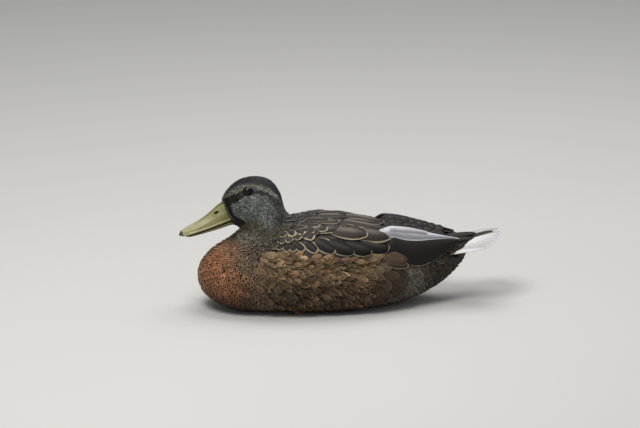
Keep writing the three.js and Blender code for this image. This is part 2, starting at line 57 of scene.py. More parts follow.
# The kinds of flesh. A skin point belongs to the kind of the solid that it lies nearest to.
HEAD, NECK, TRUNK, WING, FLANK, BARE, EYE_ROOM = range(7)
KIND_OF = {
    "head": HEAD, "neck": NECK, "trunk": TRUNK, "tail": TRUNK,
    "wing_left": WING, "wing_right": WING, "flank_left": FLANK, "flank_right": FLANK,
    "bill_upper": BARE, "bill_lower": BARE, "bill_nail": BARE,
    "leg_left": BARE, "leg_right": BARE, "foot_left": BARE, "foot_right": BARE,
    "eye_left": EYE_ROOM, "eye_right": EYE_ROOM,
}
FLESH = ("trunk", "neck", "head", "wing_left", "wing_right", "flank_left", "flank_right")
BILL_END = -107.0 * MM  # the skin's plug under the bill reaches this far forward
TAIL_END = 136.0 * MM  # and the one among the tail's roots this far back

SKIN_VOXEL = 1.9 * MM
SWELL = 0.45 * MM  # closes the gaps between neighbouring solids before they are made one
ROUND_OFF = 14  # smoothing rounds on the joined body
SHRINK, GROW = 0.5, -0.53  # a pair of steps that smooths without shrinking
BODY_AXIS_Z = 55.0  # height of the line that angles round the body are measured from, in mm

EYE = np.array([-81.0, 11.6, 132.2])  # mm
EYE_RADIUS = 5.6
EYE_OPENING = (4.8, 3.6)  # half width and half height between the lids, mm
# How deep the face sinks round the lids and under them (mm), out to how many openings, and how far (mm)
# and where (x, z in mm) the brow and the cheek stand out.
ORBIT = {
    "round": 1.5, "under": 3.2, "reach": 2.3, "rim": (1.15, 0.85), "brow": 0.7, "brow_at": (-83, 138.5),
    "brow_long": 1.8, "brow_size": (5, 1.5), "cheek": 0.9, "cheek_at": (-77, 115), "cheek_size": (12, 2),
    "beside": (7, 11),
}

STATE = {}  # what one operator leaves for the next: the skin, its fields and the roots
TINY = 1e-12

# The node types that are used most.
MATH, VECTOR, RANGE, MIX = "ShaderNodeMath", "ShaderNodeVectorMath", "ShaderNodeMapRange", "ShaderNodeMix"
NOISE, FIELD, PLACE = "ShaderNodeTexNoise", "ShaderNodeAttribute", "ShaderNodeTexCoord"
SMOOTH = {"interpolation_type": "SMOOTHSTEP"}


# ---- Small mathematics ----
def ease(low, high, value):
    """0 below low, 1 above high and a smooth turn between; low may be the greater of the two."""
    t = np.clip((np.asarray(value, float) - low) / (high - low), 0.0, 1.0)
    return t * t * (3 - 2 * t)


def between(low, high, share):
    return low + (high - low) * share


def unit(vectors):
    length = np.linalg.norm(vectors, axis=-1, keepdims=True)
    return vectors / np.maximum(length, TINY)


def flattened(vectors, normals):
    """The vectors laid into the surface that has these normals."""
    return unit(vectors - normals * np.sum(vectors * normals, axis=-1, keepdims=True))


def line_gap(points, line):
    """Distance from 2-D points to a polyline, and how far along it the nearest place is, from 0 to 1."""
    line = np.asarray(line, float)
    lengths = np.linalg.norm(np.diff(line, axis=0), axis=1)
    starts = np.concatenate([[0.0], np.cumsum(lengths)])
    best = np.full(len(points), np.inf)
    along = np.zeros(len(points))
    for i, (a, b) in enumerate(zip(line[:-1], line[1:])):
        t = np.clip(((points - a) @ (b - a)) / lengths[i] ** 2, 0, 1)
        gap = np.linalg.norm(points - (a + t[:, None] * (b - a)), axis=1)
        nearer = gap < best
        best[nearer] = gap[nearer]
        along[nearer] = (starts[i] + t[nearer] * lengths[i]) / starts[-1]
    return best, along


def linear(code):
    """An sRGB hex code as linear red, green, blue."""
    parts = np.array([int(code[i:i + 2], 16) for i in (1, 3, 5)]) / 255
    return np.where(parts <= 0.04045, parts / 12.92, ((parts + 0.055) / 1.055) ** 2.4)


def hue(name):
    """A colour of the palette that the panel shows."""
    return np.array(getattr(bpy.context.scene.drake_palette, name))


def paint(ground, code, weight):
    """Lays a colour over the ground by a weight for each point."""
    colour = linear(code) if isinstance(code, str) else code
    return ground + (colour - ground) * np.asarray(weight)[:, None]


def plain(colour, count):
    """One colour, a hex code or linear, for a number of points."""
    return np.tile(linear(colour) if isinstance(colour, str) else colour, (count, 1))


def layered(ground, layers):
    """Lays several colours over the ground, each with its weight."""
    for code, weight in layers:
        ground = paint(ground, code, weight)
    return ground


def dressed(coat, layers):
    """Lays pairs of colours over a coat's ground and fringe, each pair with its weight."""
    ground, fringe = coat
    for under, edge, weight in layers:
        ground, fringe = paint(ground, under, weight), paint(fringe, edge, weight)
    return ground, fringe


def mottle(spots, offset=0.0):
    """Smooth noise from -1 to 1 at each spot, whose units are the noise's own wavelength."""
    return np.array([noise.noise(Vector(spot) + Vector((offset, 0.0, 0.0))) for spot in spots])


# ---- Mesh helpers ----
def read(items, field, width, kind):
    """One field of a mesh's points, edges or triangles, as an array with a row for each."""
    found = np.empty(len(items) * width, kind)
    items.foreach_get(field, found)
    return found.reshape(-1, width)


def points_of(mesh):
    return read(mesh.vertices, "co", 3, float)


def place_points(mesh, points):
    mesh.vertices.foreach_set("co", np.ascontiguousarray(points, np.float32).ravel())
    mesh.update()


def normals_of(mesh):
    return read(mesh.vertex_normals, "vector", 3, np.float32).astype(float)


def edges_of(mesh):
    return read(mesh.edges, "vertices", 2, np.int32)


def triangles_of(mesh):
    mesh.calc_loop_triangles()
    return read(mesh.loop_triangles, "vertices", 3, np.int32)


def averaged(values, edges, rounds, step=1.0):
    """Moves each value towards the mean of its neighbours'."""
    values = values.copy()
    counts = np.bincount(edges.ravel(), minlength=len(values))[:, None]
    for _ in range(rounds):
        total = np.zeros_like(values)
        np.add.at(total, edges[:, 0], values[edges[:, 1]])
        np.add.at(total, edges[:, 1], values[edges[:, 0]])
        values += step * (total / np.maximum(counts, 1) - values)
    return values


def smoothed(points, edges, rounds):
    for _ in range(rounds):
        points = averaged(points, edges, 1, SHRINK)
        points = averaged(points, edges, 1, GROW)
    return points


def store(mesh, name, values, kind="FLOAT", domain="POINT"):
    """Writes one value for each point (or edge) as a named attribute."""
    field = {"FLOAT_VECTOR": "vector", "FLOAT_COLOR": "color", "FLOAT2": "vector"}.get(kind, "value")
    attribute = mesh.attributes.new(name, kind, domain)
    values = np.asarray(values)
    if kind == "FLOAT_COLOR":
        values = np.concatenate([values, np.ones((len(values), 1))], axis=1)
    attribute.data.foreach_set(field, np.ascontiguousarray(values).ravel())


def stored(mesh, name, width, field):
    """The values of a named attribute, one row for each point."""
    return read(mesh.attributes[name].data, field, width, np.float32)


def new_object(name, mesh):
    item = bpy.data.objects.new(name, mesh)
    bpy.context.scene.collection.objects.link(item)
    return item


def solid_copy(nodes, swell=0.0, clamp=None):
    """A merged copy of some CAD solids, each grown by swell, and squeezed flat past its clamp."""
    whole = bmesh.new()
    for node in nodes:
        part = bmesh.new()
        part.from_mesh(NODES[node].data)
        bmesh.ops.remove_doubles(part, verts=part.verts, dist=1e-5)
        part.normal_update()
        moves = [vertex.normal * swell for vertex in part.verts]
        for vertex, move in zip(part.verts, moves):
            vertex.co += move
            if clamp:
                vertex.co.x = min(max(vertex.co.x, clamp[0]), clamp[1])
        mesh = bpy.data.meshes.new("part")
        part.to_mesh(mesh)
        part.free()
        whole.from_mesh(mesh)
        bpy.data.meshes.remove(mesh)
    mesh = bpy.data.meshes.new("solids")
    whole.to_mesh(mesh)
    whole.free()
    return mesh


def evaluated(item):
    """The mesh that an object's modifiers make, as a plain mesh of its own."""
    bpy.context.view_layer.update()
    result = bpy.data.meshes.new_from_object(item.evaluated_get(bpy.context.evaluated_depsgraph_get()))
    old = item.data
    item.modifiers.clear()
    item.data = result
    bpy.data.meshes.remove(old)
    return item


def remeshed(name, mesh, voxel):
    item = new_object(name, mesh)
    remesh = item.modifiers.new("one surface", "REMESH")
    remesh.mode = "VOXEL"
    remesh.voxel_size = voxel
    return evaluated(item)


def largest_island(mesh):
    """Keeps only the biggest connected surface."""
    edges = edges_of(mesh)
    label = np.arange(len(mesh.vertices))
    while True:
        low = np.minimum(label[edges[:, 0]], label[edges[:, 1]])
        new = label.copy()
        np.minimum.at(new, edges[:, 0], low)
        np.minimum.at(new, edges[:, 1], low)
        new = new[new]
        if np.array_equal(new, label):
            break
        label = new
    names, counts = np.unique(label, return_counts=True)
    lost = label != names[np.argmax(counts)]
    body = bmesh.new()
    body.from_mesh(mesh)
    body.verts.ensure_lookup_table()
    bmesh.ops.delete(body, geom=[body.verts[i] for i in np.flatnonzero(lost)], context="VERTS")
    body.to_mesh(mesh)
    body.free()


def put(tree, kind, inputs=(), **settings):
    """Adds a node with its settings. Its inputs, by name or in order, are values, sockets or nodes, and a
    node gives its first output."""
    node = tree.nodes.new(kind)
    for name, value in settings.items():
        setattr(node, name, value)
    for key, value in inputs.items() if isinstance(inputs, dict) else enumerate(inputs):
        socket = node.inputs[key]
        if isinstance(value, bpy.types.Node):
            value = value.outputs[0]
        if isinstance(value, bpy.types.NodeSocket):
            tree.links.new(value, socket)
        else:
            socket.default_value = value
    return node


# ---- Skin ----
def kind_of_points(points):
    """The kind of flesh at each point: that of the nearest CAD solid."""
    corners, faces, owner = [], [], []
    for node, kind in KIND_OF.items():
        mesh = NODES[node].data
        start = len(corners)
        corners += [vertex.co.copy() for vertex in mesh.vertices]
        found = [tuple(start + i for i in face.vertices) for face in mesh.polygons]
        faces += found
        owner += [kind] * len(found)
    tree = BVHTree.FromPolygons(corners, faces)
    return np.array([owner[tree.find_nearest(Vector(p))[2]] for p in points])


CHIN_TO_NECK, BILL_TO_FACE = (100, 86), (-110, -100)  # heights and x (mm) over which the coat deepens


def coat_depth(points, kind):
    """How far the skin lies under the coat's outer surface, in metres."""
    settings = bpy.context.scene.drake_plumage
    head_to_neck = ease(*CHIN_TO_NECK, points[:, 2] / MM) * ease(*BILL_TO_FACE, points[:, 0] / MM)
    depth = np.full(len(points), settings.body_depth)
    depth[kind == NECK] = between(settings.neck_depth, settings.body_depth, 0.35)
    depth[kind == HEAD] = between(settings.head_depth, settings.neck_depth, head_to_neck[kind == HEAD])
    depth[(kind == BARE) | (kind == EYE_ROOM)] = settings.head_depth
    depth[kind == WING] = settings.wing_depth
    return depth


# The feathers run round the bill's base on the head and round a point low in the chest in front (x, z in
# mm), and back and down on the body. Each turn is given in mm, from where it starts to where it is complete.
ROUND_BILL, ROUND_CHEST = (-92, 90), (-75, 35)
LIE = {
    "shoulder": (-104, -84), "shoulder_end": (-36, -56), "shoulder_up": (48, 66), "flank_top": (54, 66),
    "front": (-62, -100), "head": (82, 98), "nape": (-30, -44),
}
FALL, SHOULDER_FALL = 0.34, 0.75  # how steeply the feathers point down the body's side and the shoulder


def lie_of_coat(points, normals, kind):
    """The way that the feathers point at each skin point."""
    mm = points / MM
    x, z = mm[:, 0], mm[:, 2]
    level = np.zeros(len(mm))
    over_head = np.stack([z - ROUND_BILL[1], level, ROUND_BILL[0] - x], axis=1)
    round_chest = np.stack([ROUND_CHEST[1] - z, level, x - ROUND_CHEST[0]], axis=1)
    round_chest *= np.where(x < ROUND_CHEST[0], 1, 0)[:, None]
    across = np.abs(normals[:, 1])
    shoulder = ease(*LIE["shoulder"], x) * ease(*LIE["shoulder_end"], x) * ease(*LIE["shoulder_up"], z)
    upper_flank = (kind == FLANK) * ease(*LIE["flank_top"], z)
    fall = FALL + SHOULDER_FALL * shoulder - SHOULDER_FALL * upper_flank
    back = np.stack([1 - 0.7 * shoulder, level, -fall * across], axis=1)
    front_share = (1 - across ** 2) * ease(*LIE["front"], x)
    body = unit(unit(round_chest) * front_share[:, None] + back * (1 - front_share)[:, None])
    on_head = ease(*LIE["head"], z + 0.25 * (x + 70)) * ease(*LIE["nape"], x)
    return unit(unit(over_head) * on_head[:, None] + body * (1 - on_head)[:, None])


def orbit(points):
    """Sinks the skin round each eye, so that the lids lie in the face and the eyeball fills the opening."""
    mm = points / MM
    side = mm[:, [0, 2]]
    gap = eye_gap(mm)
    from_brow = np.linalg.norm((side - ORBIT["brow_at"]) / (ORBIT["brow_long"], 1), axis=1)
    from_cheek = np.linalg.norm(side - ORBIT["cheek_at"], axis=1)
    sink = ORBIT["round"] * ease(ORBIT["reach"], 1.0, gap) + ORBIT["under"] * ease(*ORBIT["rim"], gap)
    stand = ORBIT["brow"] * ease(*ORBIT["brow_size"], from_brow)
    stand = stand + ORBIT["cheek"] * ease(*ORBIT["cheek_size"], from_cheek)
    out = points.copy()
    out[:, 1] += np.sign(mm[:, 1]) * (stand - sink) * ease(*ORBIT["beside"], np.abs(mm[:, 1])) * MM
    return out


SKIN_EVENING = 6, 0.6  # rounds and step that even out the normals that the skin sinks along
LIE_EVENING = 5, 0.6  # and those that the feathers stand along
SKIN_OVER_FLOOR = 1.2 * MM
SKIN_PAINTED_SHADE = 0.55  # painted shade: the skin between feathers is darker than they are, as if in their shadow


def build_skin():
    """One closed surface round all the flesh, sunk by the coat's depth, with the coat's own markings darkened as
    painted shade.
    """
    bare = [f"{part}_{side}" for part in ("eye", "leg", "foot") for side in SIDES]
    bodies = [
        solid_copy(FLESH, SWELL), solid_copy(("bill_upper", "bill_lower"), SWELL, (BILL_END, 1.0)),
        solid_copy(("tail",), SWELL, (-1.0, TAIL_END)), solid_copy(bare, SWELL),
    ]
    whole = bmesh.new()
    for mesh in bodies:
        whole.from_mesh(mesh)
        bpy.data.meshes.remove(mesh)
    joined = bpy.data.meshes.new("body_skin")
    whole.to_mesh(joined)
    whole.free()
    skin = remeshed("body_skin", joined, SKIN_VOXEL)
    mesh = skin.data
    largest_island(mesh)
    edges = edges_of(mesh)
    outer = smoothed(points_of(mesh), edges, ROUND_OFF)
    place_points(mesh, outer)
    normals = unit(averaged(normals_of(mesh), edges, *SKIN_EVENING))
    kind = kind_of_points(outer)
    depth = averaged(coat_depth(outer, kind)[:, None], edges, 4)[:, 0]
    inner = averaged(outer - normals * (depth + SWELL)[:, None], edges, 3, 0.5)
    inner[:, 2] = np.maximum(inner[:, 2], SKIN_OVER_FLOOR)
    inner = orbit(inner)
    place_points(mesh, inner)
    normals = unit(averaged(normals_of(mesh), edges, *LIE_EVENING))
    lie = flattened(lie_of_coat(inner, normals, kind), normals)
    lie = flattened(averaged(lie, edges, 12, 0.7), normals)
    store(mesh, "lie_normal", normals, "FLOAT_VECTOR")
    mesh.shade_smooth()
    triangles = triangles_of(mesh)
    tree = BVHTree.FromPolygons([Vector(p) for p in inner], triangles.tolist())
    STATE.update(skin=skin, points=inner, triangles=triangles, tree=tree)
    STATE.update(normals=normals, lie=lie, kind=kind, depth=depth)
    ground, fringe, _ = markings(inner, kind, np.random.default_rng(3))
    # Painted shade: the skin takes the coat's colours, darkened as if shaded by the feathers over it.
    store(mesh, "ground", between(ground, fringe, 0.25) * SKIN_PAINTED_SHADE, "FLOAT_COLOR")
    return skin


# ---- Plumage: where it grows ----
def mean_at(values, corners, shares):
    return np.einsum("nk,nkd->nd", shares, values[corners])


CROWD = 7  # roots tried for each one that there is room for


def spread_roots(spacing, seed):
    """Roots on the skin, each as far from its neighbours as the spacing there, in metres. inf grows none."""
    rng = np.random.default_rng(seed)
    points, triangles = STATE["points"], STATE["triangles"]
    corner = points[triangles]
    area = 0.5 * np.linalg.norm(np.cross(corner[:, 1] - corner[:, 0], corner[:, 2] - corner[:, 0]), axis=1)
    room = spacing[triangles].mean(axis=1)
    count = rng.poisson(np.where(np.isfinite(room), area * CROWD / np.maximum(room, TINY) ** 2, 0))
    face = np.repeat(np.arange(len(triangles)), count)
    first, second = rng.random(len(face)), rng.random(len(face))
    over = first + second > 1
    first[over], second[over] = 1 - first[over], 1 - second[over]
    shares = np.stack([1 - first - second, first, second], axis=1)
    corners = triangles[face]
    places = mean_at(points, corners, shares)
    reach = spacing[corners].mean(axis=1)
    tree = KDTree(len(places))
    for i, place in enumerate(places):
        tree.insert(place, i)
    tree.balance()
    free = np.ones(len(places), bool)
    kept = []
    for i in rng.permutation(len(places)):
        if not free[i]:
            continue
        kept.append(i)
        for _, j, _ in tree.find_range(places[i], reach[i]):
            free[j] = False
    kept = np.array(kept)
    corners, shares = corners[kept], shares[kept]
    nearest = corners[np.arange(len(kept)), np.argmax(shares, axis=1)]
    return {
        "place": places[kept],
        "normal": unit(mean_at(STATE["normals"], corners, shares)),
        "lie": unit(mean_at(STATE["lie"], corners, shares)),
        "depth": mean_at(STATE["depth"][:, None], corners, shares)[:, 0],
        "kind": STATE["kind"][nearest],
    }


def eye_gap(mm):
    """Distance from the lids' rim seen from the side, as a multiple of the opening's size."""
    away = np.stack([(mm[:, 0] - EYE[0]) / EYE_OPENING[0], (mm[:, 2] - EYE[2]) / EYE_OPENING[1]], axis=1)
    return np.linalg.norm(away, axis=1)


BILL_ROOT = np.array([-100.0, 112.0])  # middle of the bill's base from the side, mm


# Where one tract turns into the next, in mm along x or z, from where the turn starts to where it is whole.
TURNS = {
    "head": (84, 98), "head_end": (-30, -46), "neck": (72, 84), "neck_end": (-34, -56), "breast": (-58, -92),
    "belly": (24, 10), "vent": (68, 80), "vent_top": (60, 46), "lobe": (40, 56), "shoulder": (-30, -60),
    "rump": (60, 90),
}


def tract_shares(mm, kind):
    """How much each tract has of each point. The shares of one point sum to 1."""
    x, z = mm[:, 0], mm[:, 2]
    head = ease(*TURNS["head"], z + 0.25 * (x + 70)) * ease(*TURNS["head_end"], x)
    neck = (1 - head) * ease(*TURNS["neck"], z + 0.1 * (x + 90)) * ease(*TURNS["neck_end"], x)
    rest = 1 - head - neck
    breast = rest * ease(*TURNS["breast"], x)
    rest = rest - breast
    under = rest * ease(*TURNS["belly"], z) * (kind != WING)
    rest = rest - under
    behind = ease(*TURNS["vent"], x)
    vent = rest * behind * ease(*TURNS["vent_top"], z) + under * behind
    under = under * (1 - behind)
    rest = np.clip(1 - head - neck - breast - under - vent, 0, 1)
    flank = rest * (kind == FLANK)
    rest = rest - flank
    lobe = flank * ease(*TURNS["lobe"], x)
    shoulder = rest * ease(*TURNS["shoulder"], x)
    rest = rest - shoulder
    rump = rest * ease(*TURNS["rump"], x)
    return {
        "head": head, "neck": neck, "breast": breast, "belly": under, "vent": vent, "flank": flank - lobe,
        "lobe": lobe, "shoulder": shoulder, "rump": rump, "mantle": rest - rump,
    }


# Length, width, spacing in mm, and how much the tip curls up, for each tract.
TRACTS = {
    "head": (3.3, 1.25, 1.0, 0.0),
    "neck": (5.4, 2.5, 1.65, 0.0),
    "breast": (8.5, 5.6, 2.75, 0.02),
    "belly": (11, 8, 4.4, 0.0),
    "vent": (13, 8.5, 4.6, 0.02),
    "flank": (11, 4.9, 2.9, 0.10),
    "lobe": (24, 14, 6.6, 0.03),
    "shoulder": (12, 4.8, 3.0, 0.03),
    "rump": (14.5, 10, 5.0, 0.02),
    "mantle": (16, 11.5, 5.2, 0.01),
}
# The rows of large feathers take the wing below this angle round the body: x (mm) and degrees.
FREE_OF_TUFTS = ((-56, -40, -22, -4, 14), (62, 54, 48, 42, 33))
NEAR_BILL = 0.62  # the size of the tufts at the bill's base, as a share of those on the cheek
FACE = (8, 34)  # mm from the bill's base over which they grow to that
NEAR_EYE = 0.6  # their size at the lids, as a share
LIDS = (1.1, 2.2)  # and the multiples of the eye's opening over which they grow


def tract_sizes(mm, kind):
    """Length, width, spacing (m) and curl of the feathers at each point."""
    shares = tract_shares(mm, kind)
    sizes = sum(share[:, None] * np.array(TRACTS[name]) for name, share in shares.items())
    from_bill = np.linalg.norm(mm[:, [0, 2]] - BILL_ROOT, axis=1)
    face = between(NEAR_BILL, 1.0, ease(*FACE, from_bill))
    face = np.minimum(face, between(NEAR_EYE, 1.0, ease(*LIDS, eye_gap(mm))))
    scale = 1 - shares["head"] + shares["head"] * face
    sizes[:, :3] *= scale[:, None] * MM
    return sizes


BARE_EYE, CLEAR_EYE = 1.12, 1.16  # no tuft is rooted within this many times the eye's opening
HEAD_SIDE = 8  # mm from the middle, beyond which a point of the head is on its side
WING_FRONT, TAIL_ROOM, COAT_END = -56, 151, 161  # x (mm): the wing's front, the last root and its tip
UPTURNED = 0.86  # flank points that face up more than this lie hidden under the wing
FLANK_LUMPS = {"size": 10.0, "height": 2.0, "most": 3, "end": (56, 40)}
RIDGE = {"height": 3.2, "up": (55, 65), "back": (-76, -66)}  # the flank's upper edge stands over the wing
NAPE = {"height": 1.5, "back": (-58, -50), "below": (134, 122), "above": (98, 106)}


def coat_base(mm, kind):
    """How far over the skin the small feathers are rooted, in mm."""
    x, z = mm[:, 0], mm[:, 2]
    lumps = 1.0 + FLANK_LUMPS["height"] * mottle(mm / FLANK_LUMPS["size"], 5.0)
    lumps = (kind == FLANK) * np.clip(lumps, 0, FLANK_LUMPS["most"]) * ease(*FLANK_LUMPS["end"], x)
    ridge = (kind == FLANK) * ease(*RIDGE["up"], z) * ease(*RIDGE["back"], x)
    nape = (z > 96) * ease(*NAPE["back"], x) * ease(*NAPE["below"], z) * ease(*NAPE["above"], z)
    return 0.12 + lumps + RIDGE["height"] * ridge + NAPE["height"] * nape


def contour_roots():
    """The roots of all the small feathers, spread once over the whole bird so that no tract has a seam."""
    if "roots" in STATE:
        return STATE["roots"]
    mm, kind = STATE["points"] / MM, STATE["kind"]
    spacing = tract_sizes(mm, kind)[:, 2] / bpy.context.scene.drake_plumage.fullness
    at_eye = (eye_gap(mm) < BARE_EYE) & ((np.abs(mm[:, 1]) > HEAD_SIDE) | (kind == EYE_ROOM))
    roots = spread_roots(np.where((kind == BARE) | at_eye, np.inf, spacing), 7)

    mm, kind = roots["place"] / MM, roots["kind"]
    angle = np.degrees(np.arctan2(np.abs(mm[:, 1]), mm[:, 2] - BODY_AXIS_Z))
    free = np.interp(mm[:, 0], *FREE_OF_TUFTS)
    rows = (kind == WING) & (angle > free) & (mm[:, 0] > WING_FRONT)
    upturned = (kind == FLANK) & (roots["normal"][:, 2] > UPTURNED)
    off_eye = (eye_gap(mm) > CLEAR_EYE) | (np.abs(mm[:, 1]) < HEAD_SIDE)
    roots = chosen(roots, off_eye & ~rows & ~upturned & (mm[:, 0] < TAIL_ROOM))

    mm, kind = roots["place"] / MM, roots["kind"]
    rng = np.random.default_rng(11)
    length, width, _, curl = tract_sizes(mm, kind).T
    count = len(mm)
    room = np.maximum(COAT_END - mm[:, 0], 4) * MM
    roots["reach"] = np.minimum(length * between(0.88, 1.14, rng.random(count)), room)
    roots["girth"] = width * between(0.9, 1.12, rng.random(count))
    roots["lift"] = roots["depth"] * between(0.78, 1.02, rng.random(count))
    roots["lift"] *= between(0.45, 1.0, ease(1.1, 2.6, eye_gap(mm)))
    roots["curl"] = curl * between(0.0, 2.0, rng.random(count))
    roots["base"] = coat_base(mm, kind) * MM
    roots["tilt"] = between(-0.08, 0.08, rng.random(count))
    roots["ground"], roots["fringe"], roots["mark"] = markings(roots["place"], kind, rng)
    shares = tract_shares(mm, kind)
    roots["tract"] = np.array(list(shares))[np.argmax(np.stack(list(shares.values())), axis=0)]
    STATE["roots"] = roots
    return roots


# ---- Plumage: its markings ----
# Lines of the face's pattern and where its parts change, seen from the side: x and z in mm.
BROW = [
    (-104, 123.5), (-98, 128.5), (-92.5, 132.8), (-86, 136.6), (-76, 137.8), (-67, 136.6), (-59, 133.5),
    (-54, 129),
]
EYE_STRIPE = [
    (-103, 120), (-97, 123.5), (-91, 127.8), (-81, 132.5), (-71, 132), (-62, 129.5), (-55, 125), (-50, 118),
]


CAP_EDGE = [
    (-110, 120), (-105, 125.5), (-101, 130.5), (-96, 134.5), (-91, 137.5), (-80, 139.6), (-68, 138.6),
    (-58, 134.8), (-50, 128), (-45, 118), (-42, 104),
]
FACE_LINE = [(-104, 124), (-102.5, 117), (-100.5, 110), (-97.5, 105), (-93, 102), (-88, 99)]
THROAT = [(-93, 98), (-84, 96), (-76, 96.5), (-70, 98)]
HEAD_TURNS = {
    "nape": (-60, -46), "low": (98, 90), "low_behind": (-86, -68), "cap": (-1.3, 1.3),
    "cap_front": (-92, -104), "chin": (104, 99), "chin_front": (-86, -92), "neck_contrast": (84, 98),
}
STREAK = (1.15, 3.2, 1.5)  # wavelengths of the streaks along, across and through the head's coat, mm
BROW_WIDTH, STRIPE_WIDTH, FACE_LINE_WIDTH = (3.8, 2.9), (3.8, 2.1), (3.0, 1.7)  # front and back, mm


def head_colours(mm, rng):
    """Ground and fringe of the head and neck tufts."""
    x, y, z = mm[:, 0], np.abs(mm[:, 1]), mm[:, 2]
    side = mm[:, [0, 2]]
    count = len(mm)
    from_bill = (x - ROUND_BILL[0], z - ROUND_BILL[1])
    reach, turn = np.hypot(*from_bill), np.arctan2(*from_bill)
    streak = mottle(np.stack([reach / STREAK[0], turn * reach / STREAK[1], y / STREAK[2]], axis=1))
    cloud = mottle(mm / 7.0, 9.0)
    nape = ease(*HEAD_TURNS["nape"], x - 0.2 * (z - 110))
    low = ease(*HEAD_TURNS["low"], z)
    behind = low * ease(*HEAD_TURNS["low_behind"], x)
    throat = ease(7, 2, line_gap(side, THROAT)[0])
    gap, along = line_gap(side, BROW)
    brow = ease(between(*BROW_WIDTH, ease(0.1, 0.3, along)), 0.9, gap + 1.6 * streak)
    gap, along = line_gap(side, EYE_STRIPE)
    stripe = ease(1.3, 0.7, (gap + 1.2 * streak) / between(*STRIPE_WIDTH, ease(0.1, 0.5, along)))
    stripe *= between(1.0, 0.75, ease(0.5, 0.9, along))
    cap_height = np.interp(x, *np.transpose(CAP_EDGE))
    cap = ease(*HEAD_TURNS["cap"], z - cap_height + 0.10 * np.maximum(8 - y, 0) + 1.2 * streak)
    front = ease(*HEAD_TURNS["cap_front"], x)
    gap, along = line_gap(side, FACE_LINE)
    line = ease(1.25, 0.6, gap / between(*FACE_LINE_WIDTH, np.sin(math.pi * np.clip(along, 0, 1))))
    line *= ease(0.0, 0.12, along)
    chin = ease(*HEAD_TURNS["chin"], z) * ease(*HEAD_TURNS["chin_front"], x)
    ring = ease(1.75, 1.4, eye_gap(mm)) * ease(1.5, 4.0, np.abs(z - EYE[2])) * ease(8, 12, y)
    ground = paint(plain(hue("cheek"), count), "#2e302c", nape * 0.8)
    fringe = paint(plain(hue("cheek_edge"), count), "#504f46", nape * 0.9)
    ground, fringe = dressed((ground, fringe), [
        ("#443f36", "#857c6b", low), ("#23201c", "#6a6253", behind * 0.85),
        ("#2f2a1c", "#5f5539", throat * 0.8), ("#403f39", "#84816f", brow),
        ("#141312", "#292724", stripe * 0.95), (hue("cap"), "#302e33", cap),
        ("#2c2c31", "#4b4b52", cap * front), ("#131210", "#25221d", line), ("#131210", "#2a261f", chin),
    ])
    fringe = paint(fringe, "#98968a", ring * 0.7)
    depth = between(1.0, 0.35, cap) * (1 - 0.55 * nape)
    depth *= between(0.5, 1.0, ease(*HEAD_TURNS["neck_contrast"], z))
    flecks = np.exp(depth * (1.45 * streak + 0.35 * cloud)) * between(0.8, 1.25, rng.random(count))
    return ground * flecks[:, None], fringe * flecks[:, None]


# Where the body's markings and its painted shade below change, in mm along x, y or z: from where a turn
# starts to where it is complete.
BODY_TURNS = {
    "upper_breast": (62, 82), "low_breast_painted_shade": (48, 14), "breast_side": (-108, -82), "side": (20, 40),
    "flank_front": (-84, -72), "flank_rear": (34, 50), "under_flank_painted_shade": (58, 30), "painted_shade_low_rear": (48, 58),
    "painted_shade_low_rear_up": (66, 56), "vent_rear": (86, 116),
}


